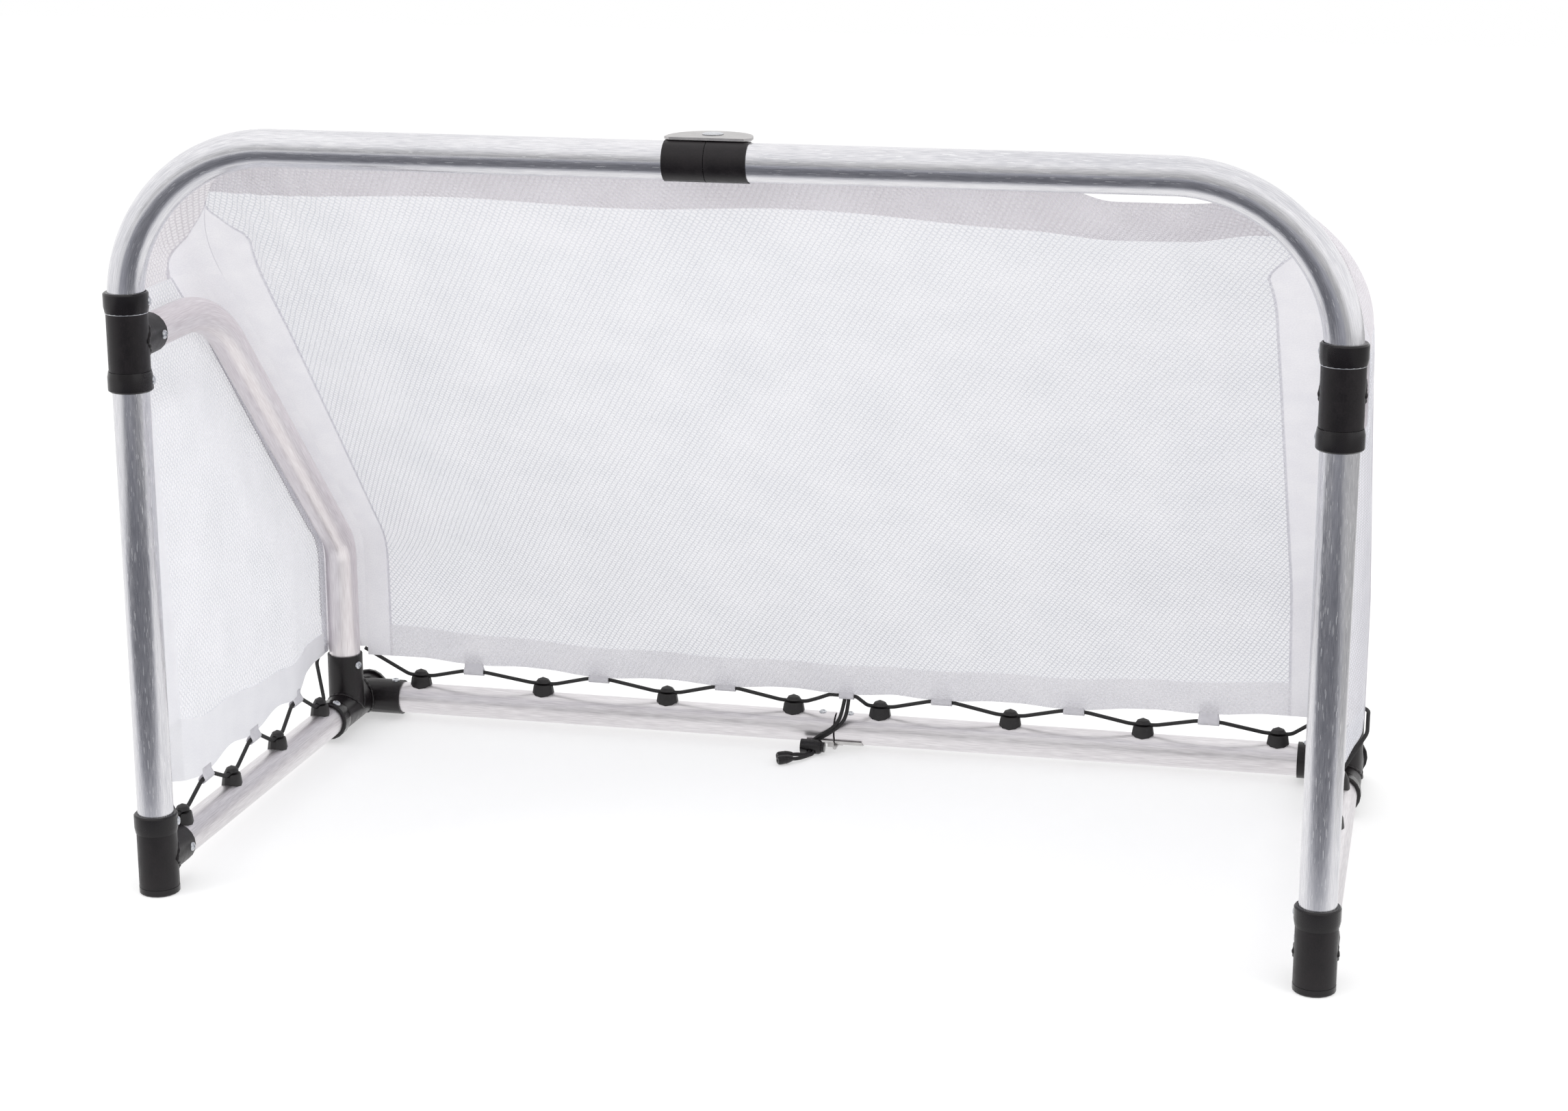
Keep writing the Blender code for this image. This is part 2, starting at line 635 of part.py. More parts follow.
# Net hooks: domed blocks on top of a tube, with a curved slot for the cord
def hook_shape():
    """Hook on a tube along local X, whose axis is the origin."""
    dome = bmesh.new()
    centre = TUBE_R - HOOK_SINK
    matrix = Matrix.Translation((0, 0, centre)) @ Matrix.Diagonal((*HOOK_HALF, 1))
    bmesh.ops.create_uvsphere(dome, u_segments=10, v_segments=6, radius=1, matrix=matrix)
    body = from_bmesh(dome, "hook")
    level = TUBE_R + HOOK_CORD_Z
    reach = HOOK_HALF[0] + OVERRUN
    cut(body, rod((-reach, 0, 0), (reach, 0, 0), BORE_R))
    cut(body, rod((-reach, 0, level), (reach, 0, level), HOOK_BORE_R, sides=CORD_SIDES))
    slit = (2 * reach, HOOK_HALF[1] + OVERRUN, HOOK_SLIT)
    cut(body, block((0, -slit[1] / 2, level + HOOK_SLIT_RISE), slit))
    return body


def rear_hook_places(side):
    found = []
    for i in range(HOOKS_IN_ROW):
        x = side * (REAR_HOOK_FIRST + i * REAR_HOOK_PITCH)
        found.append(frame_at(place(x, REAR_BAR_Y, REAR_BAR_Z), (1, 0, 0)))
    return found


def base_hook_places(side):
    found = []
    for i in range(HOOKS_IN_ROW):
        spot = base_point(side, SIDE_HOOK_FIRST + i * SIDE_HOOK_PITCH)
        found.append(frame_at(spot, BASE_DIR * -side))
    return found


def hook_row(name, side, matrices):
    for i, matrix in enumerate(matrices):
        hook = hook_shape()
        hook.matrix_world = matrix
        for change in hook.modifiers:
            change.object.matrix_world = matrix @ change.object.matrix_world
        keep(hook, name + LABEL[side] + "_" + str(i + 1), black_plastic)


def hook_ends(matrix, towards):
    """Where the cord enters and leaves a hook, in the order of its run."""
    reach = HOOK_HALF[0] + 0.001
    ends = [matrix @ Vector((x, 0, TUBE_R + HOOK_CORD_Z)) for x in (-reach, reach)]
    return sorted(ends, key=lambda end: end.dot(towards))


# Net: back panel, and side panels that wrap round the bent tubes, with hem tabs
NET_OUT = TUBE_R + NET_SEAT + NET_THICK / 2
WRAP_R1 = UPPER_BEND_R + NET_OUT
WRAP_R2 = LOWER_BEND_R + NET_OUT
NET_TOP = (TUBE_R + GAP + NET_THICK / 2, HEIGHT - NET_TOP_DROP)
NET_TOP_HEM = HEIGHT - NET_TOP_BAND
NET_UPPER_ROW = (NET_TOP_HEM + CORNER_Z) / 2
NET_BOTTOM_Y = REAR_BAR_Y - NET_BOTTOM_LEAD
BACK_HALF = HALF - NET_FLANGE - NET_JOIN
WRAP_STEPS = (0, 1, 1.33, 1.67, 2)     # side net's columns, up to and round a tube


def net_touch_angle():
    """Angle on the upper bend where the straight net from the crossbar touches."""
    across = NET_TOP[0] - BEND_C1[0]
    rise = NET_TOP[1] - BEND_C1[1]
    return atan2(rise, across) - acos(WRAP_R1 / hypot(across, rise))


TOUCH = net_touch_angle()
TOUCH_Y = BEND_C1[0] + WRAP_R1 * cos(TOUCH)
TOUCH_Z = BEND_C1[1] + WRAP_R1 * sin(TOUCH)
SLOPE_TOP = BEND_C1[1] + WRAP_R1 * sin(pi / 4)
SLOPE_END = BEND_C2[1] + WRAP_R2 * sin(pi / 4)


def smooth(value):
    value = min(1.0, max(0.0, value))
    return value * value * (3 - 2 * value)


def outline_y(z):
    """Depth of the net behind the post plane, beside a bent tube, at a height."""
    if z >= TOUCH_Z:
        share = (z - TOUCH_Z) / (NET_TOP[1] - TOUCH_Z)
        return TOUCH_Y + (NET_TOP[0] - TOUCH_Y) * share
    if z >= SLOPE_TOP:
        return BEND_C1[0] + sqrt(WRAP_R1 ** 2 - (z - BEND_C1[1]) ** 2)
    if z >= SLOPE_END:
        return BEND_C1[0] + WRAP_R1 * cos(pi / 4) + SLOPE_TOP - z
    if z >= BEND_C2[1]:
        return BEND_C2[0] + sqrt(WRAP_R2 ** 2 - (z - BEND_C2[1]) ** 2)
    return BEND_C2[0] + WRAP_R2


def wrap_depth(z):
    step = 0.0005
    slope = (outline_y(z + step) - outline_y(z - step)) / (2 * step)
    return NET_OUT * sqrt(1 + slope * slope)


def corner_x(z):
    """How far the bow's corner has turned inwards at a height."""
    rise = min(max(0.0, z - CORNER_Z), CORNER_R)
    return CORNER_R - sqrt(CORNER_R ** 2 - rise ** 2)


def back_net_point(across, z):
    """Back net: across from -1 to 1, at a height."""
    share = (NET_TOP[1] - z) / (NET_TOP[1] - NET_BOTTOM_Z)
    flat = NET_TOP[0] + (NET_BOTTOM_Y - NET_TOP[0]) * share
    y = flat + (outline_y(z) - flat) * abs(across) ** NET_SAG
    near_hinge = 1 - smooth((abs(across) * HALF - BULGE_FLAT) / BULGE_EASE)
    y += HINGE_BULGE * near_hinge * (1 - smooth(share / BULGE_SHARE))
    return place(across * (BACK_HALF - corner_x(z)), y, z)


def side_net_point(side, along, z):
    """Side net: along runs 0 to 1 on the panel, to 2 round the tube, to 3 inwards."""
    x = HALF - corner_x(z)
    y_back = outline_y(z)
    if along > 2:
        return place(side * (x - NET_FLANGE * (along - 2)), y_back, z)
    depth = wrap_depth(z)
    if along > 1:
        angle = (along - 1) * pi / 2
        return place(side * (x + NET_OUT * cos(angle)), y_back - depth * (1 - sin(angle)), z)
    from_tee = abs(z - UPPER_TEE_Z)
    at_tee = 1 - smooth((from_tee - TEE_EASE_START) / TEE_EASE)
    beside_tee = (SLEEVE_R + NET_TEE_CLEAR) * at_tee
    at_collars = 1 - smooth((from_tee - SLEEVE_LEN / 2 - COLLAR_LEN) / COLLAR_EASE)
    front = NET_OUT + (COLLAR_R + NET_THICK / 2 + 2 * GAP - NET_OUT) * at_collars
    end = y_back - depth
    y = front + (end - front) * along
    near_tube = smooth((y - end + SIDE_EASE_START) / SIDE_EASE)
    out = beside_tee + (NET_OUT - beside_tee) * near_tube
    return place(side * (x + out), y, z)


def goal_net_point(across, z):
    """Back net, and past its edges the corners over the bent tubes, out to 4."""
    if abs(across) <= 1:
        return back_net_point(across, z)
    return side_net_point(1 if across > 0 else -1, 4 - abs(across), z)


def sheet(columns, rows, open_cell, mapping, left_out=None):
    """Thin sheet on a grid of columns and rows, with openings in some cells."""
    shape = bmesh.new()
    bmesh.ops.create_grid(shape, x_segments=len(columns) - 1, y_segments=len(rows) - 1, size=0.5)
    for vert in shape.verts:
        column = round((vert.co.x + 0.5) * (len(columns) - 1))
        row = round((vert.co.y + 0.5) * (len(rows) - 1))
        vert.co = (columns[column], rows[row], 0)
    if left_out:
        gone = [face for face in shape.faces if left_out(*face.calc_center_median()[:2])]
        bmesh.ops.delete(shape, geom=gone, context="FACES")
    chosen = [face for face in shape.faces if open_cell(*face.calc_center_median()[:2])]
    for face in chosen:
        open_up(shape, face, mapping)
    for vert in shape.verts:
        vert.co = mapping(vert.co.x, vert.co.y)
    bmesh.ops.recalc_face_normals(shape, faces=shape.faces)
    net = from_bmesh(shape, "sheet")
    skin = net.modifiers.new("thickness", "SOLIDIFY")
    skin.thickness = NET_THICK
    skin.offset = 0
    return net


def open_up(shape, face, mapping):
    """Open one cell, leaving a strand of even width along each side."""
    us = [vert.co.x for vert in face.verts]
    vs = [vert.co.y for vert in face.verts]
    middle = face.calc_center_median()
    wide = (mapping(max(us), middle.y) - mapping(min(us), middle.y)).length
    high = (mapping(middle.x, max(vs)) - mapping(middle.x, min(vs))).length
    limits = (min(us), max(us), min(vs), max(vs))
    bmesh.ops.inset_individual(shape, faces=[face], thickness=0.0001)
    for vert in face.verts:
        u = limits[1] if vert.co.x > middle.x else limits[0]
        v = limits[3] if vert.co.y > middle.y else limits[2]
        vert.co.x = middle.x + (u - middle.x) * (1 - 2 * STRAND / wide)
        vert.co.y = middle.y + (v - middle.y) * (1 - 2 * STRAND / high)
    bmesh.ops.delete(shape, geom=[face], context="FACES_ONLY")


def spaced(start, end, count):
    return [start + (end - start) * i / count for i in range(count + 1)]


def tab(spot, along, hem_z, half=TAB_HALF):
    """Cord casing at a spot, with a strap that reaches up to the hem."""
    along = Vector(along)
    casing = rod(spot - along * half, spot + along * half, TAB_R, sides=CORD_SIDES)
    strap = hem_z + STRAP_LAP - spot.z
    size = Vector((abs(along.x), abs(along.y), 0)) * half * TAB_STRAP_SHARE
    size += Vector((abs(along.y), abs(along.x), 0)) * STRAP_THICK
    fuse(casing, block(spot + UP * strap / 2, (size.x, size.y, strap)))
    reach = along * (half + OVERRUN)
    return cut(casing, rod(spot - reach, spot + reach, TAB_BORE_R, sides=CORD_SIDES))


def rear_tab(x):
    """Middle of the cord casing of the rear tab at a distance from the middle."""
    spot = back_net_point(x / BACK_HALF, NET_BOTTOM_Z)
    spot.z = REAR_BAR_Z + TUBE_R + REAR_TAB_RISE
    return spot


REAR_TABS = [REAR_HOOK_FIRST + (i + 0.5) * REAR_HOOK_PITCH for i in range(HOOKS_IN_ROW - 1)]
SIDE_TABS = [SIDE_HOOK_FIRST + (i + 0.5) * SIDE_HOOK_PITCH for i in range(HOOKS_IN_ROW - 1)]


def side_tab(side, y):
    """Middle of the cord casing of a side tab at a distance behind the posts."""
    front = NET_OUT
    end = outline_y(SIDE_NET_BOTTOM) - wrap_depth(SIDE_NET_BOTTOM)
    spot = side_net_point(side, (y - front) / (end - front), SIDE_NET_BOTTOM)
    spot.z = SIDE_TAB_Z
    return spot


def back_net():
    """Back panel with both upper corners, which leave the bent tubes when the goal folds."""
    edge = 1 - SIDE_BAND / BACK_HALF
    mesh_bottom = NET_BOTTOM_Z + HEM
    corner = [4 - along for along in reversed(WRAP_STEPS)]
    left_corner = [-across for across in reversed(corner)]
    columns = [*left_corner, -1, *spaced(-edge, edge, 10), 1, *corner]
    rows = [NET_BOTTOM_Z, *spaced(mesh_bottom, CORNER_Z, 7), NET_UPPER_ROW, NET_TOP_HEM, NET_TOP[1]]
    net = sheet(columns, rows, lambda u, z: abs(u) < edge and mesh_bottom < z < NET_TOP_HEM,
                goal_net_point, lambda u, z: abs(u) > 1 and not CORNER_Z < z < NET_TOP_HEM)
    for x in REAR_TABS:
        fuse(net, applied(tab(rear_tab(x), (1, 0, 0), NET_BOTTOM_Z)))
        fuse(net, applied(tab(rear_tab(-x), (1, 0, 0), NET_BOTTOM_Z)))
    fuse(net, applied(tab(rear_tab(CENTRE_TAB_X), (1, 0, 0), NET_BOTTOM_Z, CENTRE_TAB_HALF)))
    return keep(net, "net_back", net_white)


def side_net(side):
    mesh_bottom = SIDE_NET_BOTTOM + HEM
    first, last = SIDE_MESH_SHARE
    columns = [0, *spaced(first, last, 4), *WRAP_STEPS[1:], 3]
    bend = [BEND_C2[1] + WRAP_R2 * sin(radians(angle)) for angle in (0, 15, 30)]
    middle = (mesh_bottom + BEND_C2[1]) / 2
    rows = [SIDE_NET_BOTTOM, mesh_bottom, middle, *bend, *spaced(SLOPE_END, SLOPE_TOP, 5),
            CORNER_Z - NET_JOIN]
    net = sheet(columns, rows, lambda u, z: first < u < last and mesh_bottom < z < CORNER_Z,
                lambda u, z: side_net_point(side, u, z))
    for y in SIDE_TABS:
        fuse(net, applied(tab(side_tab(side, y), (0, 1, 0), SIDE_NET_BOTTOM)))
    return keep(net, "net_" + LABEL[side], net_white)


# Elastic cord, laced through tabs and hooks: one stretch for each body
CORD_WRAP_R = NET_OUT + NET_THICK / 2 + CORD_R + CORD_CLEAR


def side_cord(side):
    """From the net's front corner through the hooks, and round the upright."""
    back = Vector((0, 1, 0))
    width = back * (TAB_HALF + 0.001)
    hooks = base_hook_places(side)
    front = place(side * HALF, 0.033, SIDE_NET_BOTTOM - 0.0012)
    run = [front, front + Vector((0, 0.004, -0.012))]
    for i, matrix in enumerate(hooks):
        run += hook_ends(matrix, back)
        if i < len(SIDE_TABS):
            spot = side_tab(side, SIDE_TABS[i])
            run += [spot - width, spot + width]
    run.append(place(side * (HALF + CORD_WRAP_R), UPRIGHT_Y - 0.030, SIDE_NET_BOTTOM - 0.008))
    for angle in (-12, 12, 36, 60, 86):
        turn = radians(angle)
        run.append(place(side * (HALF + CORD_WRAP_R * cos(turn)),
                         UPRIGHT_Y + CORD_WRAP_R * sin(turn), REAR_SOCKET_Z + 0.011))
    run.append(place(side * (HALF - 0.0135), UPRIGHT_Y + CORD_WRAP_R, REAR_SOCKET_Z + 0.005))
    return keep(piped(run, CORD_R, CORD_SIDES), "lacing_cord_" + LABEL[side], cord_black)


def rear_cord(side):
    """Along one half of the rear bar, from the middle to the side frame."""
    outward = Vector((side, 0, 0))
    width = outward * (TAB_HALF + 0.001)
    centre = rear_tab(CENTRE_TAB_X)
    half = Vector((CENTRE_TAB_HALF + 0.002, 0, 0))
    first = Vector((side * GAP, centre.y, centre.z))
    if side > 0:
        run = [first, centre - half, centre + half]
    else:
        run = [first, first + Vector((-0.004, 0, 0)), first + Vector((-0.020, 0.006, -0.008))]
    for i, matrix in enumerate(rear_hook_places(side)):
        run += hook_ends(matrix, outward)
        if i < len(REAR_TABS):
            spot = rear_tab(side * REAR_TABS[i])
            run += [spot - width, spot + width]
    run.append(place(side * (HALF - 0.0165), UPRIGHT_Y + CORD_WRAP_R + 0.001, REAR_SOCKET_Z))
    return keep(piped(run, CORD_R, CORD_SIDES), "rear_lacing_cord_" + LABEL[side], cord_black)


# Cord tail: both ends of the cord, with a barrel lock and bell ends on the floor
LOCK_AXIS = place(LOCK_X, REAR_BAR_Y - LOCK_Y_LEAD, LOCK_R + GAP)
HOLE_DIR = Vector((0, cos(HOLE_TILT), sin(HOLE_TILT)))
HOLE_TURN = Matrix.Rotation(HOLE_TILT, 4, "X")
HOLE_HALF = STRAND_SPACE / 2 + CORD_R + HOLE_ROOM
HOLE_THICK = 2 * (CORD_R + HOLE_ROOM)
ACROSS = Vector((1, 0, 0))


def cord_lock():
    right = LOCK_AXIS + ACROSS * LOCK_RIGHT
    shoulder = right - ACROSS * LOCK_CHAMFER
    body = rod(LOCK_AXIS - ACROSS * LOCK_LEFT, shoulder, LOCK_R, sides=16)
    fuse(body, rod(shoulder - ACROSS * 0.0001, right, LOCK_R, 16, end_radius=LOCK_R * 0.84))
    floor = LOCK_AXIS - ACROSS * (LOCK_LEFT - LOCK_END_WALL)
    cut(body, rod(floor, right + ACROSS * OVERRUN, BUTTON_R + GAP, sides=16))
    cut(body, block(LOCK_AXIS, (2 * HOLE_HALF, 3 * LOCK_R, HOLE_THICK), HOLE_TURN))
    return keep(body, "cord_lock_barrel", black_plastic)


def cord_lock_button():
    """Plunger in the barrel; its slot lets the cord through over its whole travel."""
    inner = LOCK_AXIS - ACROSS * (HOLE_HALF + BUTTON_WALL)
    outer = LOCK_AXIS + ACROSS * (LOCK_RIGHT + BUTTON_OUT)
    body = rod(inner, outer, BUTTON_R, sides=16)
    slot = 2 * HOLE_HALF + BUTTON_TRAVEL
    middle = LOCK_AXIS + ACROSS * BUTTON_TRAVEL / 2
    cut(body, block(middle, (slot, 3 * LOCK_R, HOLE_THICK), HOLE_TURN))
    return keep(body, "cord_lock_button", black_plastic)


def smooth_route(points, steps):
    """Points on a smooth curve through a cord's own points."""
    padded = [points[0], *points, points[-1]]
    found = []
    for a, b, c, d in zip(padded, padded[1:], padded[2:], padded[3:]):
        for i in range(steps):
            t = i / steps
            bend = (2 * a - 5 * b + 4 * c - d) * t ** 2 + (3 * b - a - 3 * c + d) * t ** 3
            found.append(b + ((c - a) * t + bend) / 2)
    found.append(points[-1])
    return found


def bell_place(hand):
    """Small end of a bell, on its axis."""
    x, y = BELLS[hand]
    return Vector((LOCK_AXIS.x + x, LOCK_AXIS.y + y, BELL_R + GAP))


def tail_strand(hand):
    """One strand of the tail, from under the middle tab to its bell end."""
    shift = ACROSS * (hand * STRAND_SPACE / 2)
    top = rear_tab(CENTRE_TAB_X)
    start = Vector((top.x, top.y, top.z - TAB_R - 0.0075))
    wide = ACROSS * hand * 0.0032
    before_bar = place(0, REAR_BAR_Y - TUBE_R - CORD_R - 0.0012, 0)
    hole = LOCK_AXIS + shift
    bell = bell_place(hand)
    return [
        start + wide,
        Vector((0.0125, before_bar.y, 0.047)) + wide,
        Vector((0.004, before_bar.y, 0.034)) + shift,
        Vector((-0.008, before_bar.y, 0.0245)) + shift,
        hole + HOLE_DIR * 0.0125 + ACROSS * 0.004,
        hole + HOLE_DIR * 0.0095,
        hole,
        hole - HOLE_DIR * 0.0105,
        Vector((hole.x - 0.004, hole.y - 0.0155, CORD_R + 0.0012)),
        bell - BELL_HEADING * 0.008 + Vector((0, 0, -0.0012)),
        bell + BELL_HEADING * 0.004]


def cord_tail():
    """Both strands as one cord that turns back under the tab, with its bell ends."""
    left = tail_strand(-1)
    right = tail_strand(1)
    crown = (left[0] + right[0]) / 2 + UP * 0.0034
    route = [*reversed(left), crown, *right]
    body = piped(smooth_route(route, 2), CORD_R, CORD_SIDES)
    profile = [
        (0.0, BELL_LEN), (BELL_R * 0.75, BELL_LEN * 0.96), (BELL_R, BELL_LEN * 0.83),
        (BELL_R * 0.96, BELL_LEN * 0.40), (BELL_R * 0.62, BELL_LEN * 0.08),
        (BELL_R * 0.50, 0.0), (0.0, 0.0)]
    for hand in BELLS:
        fuse(body, turned(profile, bell_place(hand), BELL_HEADING, closed=False, sides=10))
    return keep(body, "cord_tail", cord_black)


# Assembly
def build_side(side):
    front_tees(side)
    rear_tees(side)
    front_tube(side)
    base_tube(side)
    bent_tube(side)
    rear_bar(side)
    label = LABEL[side]
    x = side * HALF
    above = UPPER_TEE_Z + SLEEVE_LEN / 2 + GAP
    below = UPPER_TEE_Z - SLEEVE_LEN / 2 - GAP
    collar("collar_over_upper_tee_" + label, place(x, 0, above), UP, bow_path(side)[:4])
    collar("collar_under_upper_tee_" + label, place(x, 0, below), -UP)
    collar("collar_over_lower_tee_" + label, place(x, 0, LOWER_TEE_Z + SLEEVE_LEN / 2 + GAP), UP)
    collar("rear_collar_" + label, base_point(side, REAR_COLLAR_S + COLLAR_LEN), -BASE_DIR)
    foot_plug(side)
    end_cap(side)
    hinge_sleeve(side)
    hinge_leaf(side)
    hook_row("base_hook_", side, base_hook_places(side))
    hook_row("rear_hook_", side, rear_hook_places(side))
    side_net(side)
    side_cord(side)
    rear_cord(side)


build_side(-1)
build_side(1)
hinge_plate()
hinge_rivet()
back_net()
cord_lock()
cord_lock_button()
cord_tail()
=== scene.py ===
# Folding soccer goal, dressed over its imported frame. Metres, in the row frame
import bpy
from functools import partial
from math import acos, atan2, cos, hypot, pi, radians, sin, sqrt, tan
from mathutils import Matrix, Vector, noise


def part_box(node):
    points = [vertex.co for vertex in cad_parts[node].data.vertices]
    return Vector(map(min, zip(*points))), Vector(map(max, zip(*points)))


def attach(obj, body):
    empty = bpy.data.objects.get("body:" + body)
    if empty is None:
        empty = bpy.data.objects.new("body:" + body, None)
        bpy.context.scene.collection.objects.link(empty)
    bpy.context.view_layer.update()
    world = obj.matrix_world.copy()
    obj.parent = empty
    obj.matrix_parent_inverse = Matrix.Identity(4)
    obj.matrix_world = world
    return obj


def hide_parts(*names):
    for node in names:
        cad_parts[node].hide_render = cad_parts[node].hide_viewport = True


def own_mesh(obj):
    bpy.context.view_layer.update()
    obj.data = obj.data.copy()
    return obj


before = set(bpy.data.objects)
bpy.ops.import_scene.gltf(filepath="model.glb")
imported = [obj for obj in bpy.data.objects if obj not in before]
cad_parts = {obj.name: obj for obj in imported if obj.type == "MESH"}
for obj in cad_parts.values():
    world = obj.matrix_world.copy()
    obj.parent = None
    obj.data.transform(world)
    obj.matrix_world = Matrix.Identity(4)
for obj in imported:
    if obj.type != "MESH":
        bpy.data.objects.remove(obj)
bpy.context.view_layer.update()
print("frame loaded")

scene = bpy.context.scene

# Camera, placed where the photo was taken from
view = {
    "location": (0.7165637, -3.164223, 1.2067531),
    "turn": (1.304916, 0.0009, 0.2215502),
    "lens": 70.28,    # mm, on the usual sensor of 36 mm
    "clip": 60,    # sees no further than this, in metres
}


def addObject(name, data):
    made = bpy.data.objects.new(name, data)
    scene.collection.objects.link(made)
    return made


camera = addObject("camera", bpy.data.cameras.new("camera"))
camera.location = view["location"]
camera.rotation_euler = view["turn"]
camera.data.lens = view["lens"]
camera.data.clip_end = view["clip"]
scene.camera = camera

# Sizes of the goal, read from the frame or repeated from the part's source
plugLow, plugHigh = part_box("foot_plug_left")
half = -(plugLow.x + plugHigh.x) / 2    # middle of the goal to a post's axis
postY = (plugLow.y + plugHigh.y) / 2
tilt = 0.0196617    # base tubes slope down to the back
height, tubeR, tubeWall, cornerR = 0.800, 0.019, 0.0018, 0.164
sleeveR, plugRim, setback = 0.0215, 0.0078, 0.0223
upperTeeZ, lowerTeeZ = 0.5985, 0.0378
uprightS, rearBarS, capSeatS = 0.5681, 0.6229, 0.6469
upperBendR, lowerBendR, bendCornerZ = 0.180, 0.050, 0.237
socketTop, gap = 0.096, 0.0003
cornerZ = height - cornerR
uprightY = uprightS * cos(tilt)
rearBarY = rearBarS * cos(tilt)
baseDir = Vector((0, cos(tilt), -sin(tilt)))
up = Vector((0, 0, 1))
back = Vector((0, 1, 0))
right = Vector((1, 0, 0))
hands = ((-1, "left", "Left"), (1, "right", "Right"))


def place(x, y, z):
    return Vector((x, y + postY, z))


def basePoint(side, along):
    return place(side * half, 0, lowerTeeZ) + baseDir * along


rearBarZ = basePoint(1, rearBarS).z
uprightZ = basePoint(1, uprightS).z
upperBendY = uprightY + bendCornerZ - upperTeeZ
bendReach = tan(pi / 8)    # of a 45 degree bend, as a share of its radius
bend1 = (upperBendY - upperBendR * bendReach, upperTeeZ - upperBendR)
bend2 = (uprightY - lowerBendR, bendCornerZ - lowerBendR * bendReach)

# Net's shape, repeated from the part's source
netOut, netTopY, netTopZ, netLowZ = 0.0211, 0.0203, 0.797, 0.090
netBottomY = rearBarY - 0.0228
sideLowZ, netFlange, netSag = 0.100, 0.0218, 2.4
backHalf = half - netFlange - 0.0009
hingeWay, teeWay, collarWay = 0.0175, 0.0239, 0.0253    # its way round each
wrap1, wrap2 = upperBendR + netOut, lowerBendR + netOut
across, rise = netTopY - bend1[0], netTopZ - bend1[1]
touch = atan2(rise, across) - acos(wrap1 / hypot(across, rise))
touchY = bend1[0] + wrap1 * cos(touch)
touchZ = bend1[1] + wrap1 * sin(touch)
slopeTop = bend1[1] + wrap1 * sin(pi / 4)
slopeEnd = bend2[1] + wrap2 * sin(pi / 4)


def smooth(value):
    value = min(1.0, max(0.0, value))
    return value * value * (3 - 2 * value)


def outlineY(z):
    if z >= touchZ:
        return touchY + (netTopY - touchY) * (z - touchZ) / (netTopZ - touchZ)
    if z >= slopeTop:
        return bend1[0] + sqrt(wrap1 ** 2 - (z - bend1[1]) ** 2)
    if z >= slopeEnd:
        return bend1[0] + wrap1 * cos(pi / 4) + slopeTop - z
    if z >= bend2[1]:
        return bend2[0] + sqrt(wrap2 ** 2 - (z - bend2[1]) ** 2)
    return bend2[0] + wrap2


def wrapDepth(z):
    slope = (outlineY(z + 0.0005) - outlineY(z - 0.0005)) / 0.001
    return netOut * sqrt(1 + slope * slope)


def cornerX(z):
    turned = min(max(0.0, z - cornerZ), cornerR)
    return cornerR - sqrt(cornerR ** 2 - turned ** 2)


def backPoint(u, z):
    share = (netTopZ - z) / (netTopZ - netLowZ)
    flat = netTopY + (netBottomY - netTopY) * share
    y = flat + (outlineY(z) - flat) * abs(u) ** netSag
    nearHinge = 1 - smooth((abs(u) * half - 0.030) / 0.060)
    y += hingeWay * nearHinge * (1 - smooth(share / 0.12))
    return place(u * (backHalf - cornerX(z)), y, z)


def sidePoint(side, along, z):
    x = half - cornerX(z)
    yBack = outlineY(z)
    if along > 2:
        return place(side * (x - netFlange * (along - 2)), yBack, z)
    depth = wrapDepth(z)
    if along > 1:
        angle = (along - 1) * pi / 2
        return place(side * (x + netOut * cos(angle)), yBack - depth * (1 - sin(angle)), z)
    fromTee = abs(z - upperTeeZ)
    besideTee = teeWay * (1 - smooth((fromTee - 0.045) / 0.050))
    atCollars = 1 - smooth((fromTee - 0.051) / 0.020)
    front = netOut + (collarWay - netOut) * atCollars
    end = yBack - depth
    y = front + (end - front) * along
    nearTube = smooth((y - end + 0.190) / 0.150)
    return place(side * (x + besideTee + (netOut - besideTee) * nearTube), y, z)


# Meshes, with texture coordinates in metres
def toMesh(name, verts, faces, uvs, material, sharp=40):
    mesh = bpy.data.meshes.new(name)
    mesh.from_pydata(verts, [], faces)
    layer = mesh.uv_layers.new(name="UVMap")
    layer.data.foreach_set("uv", [number for corner in uvs for number in corner])
    mesh.materials.append(material)
    mesh.update()
    mesh.shade_smooth()
    mesh.set_sharp_from_angle(angle=radians(sharp))
    return addObject(name, mesh)


def framesAlong(points):
    heads = [(b - a).normalized() for a, b in zip(points, points[1:])]
    found = []
    for i, point in enumerate(points):
        tangent = (heads[max(0, i - 1)] + heads[min(i, len(heads) - 1)]).normalized()
        if found:
            turn = found[-1][1].rotation_difference(tangent)
            normal = (turn @ found[-1][2]).normalized()
        else:
            normal = tangent.orthogonal().normalized()
        found.append((point, tangent, normal))
    return found


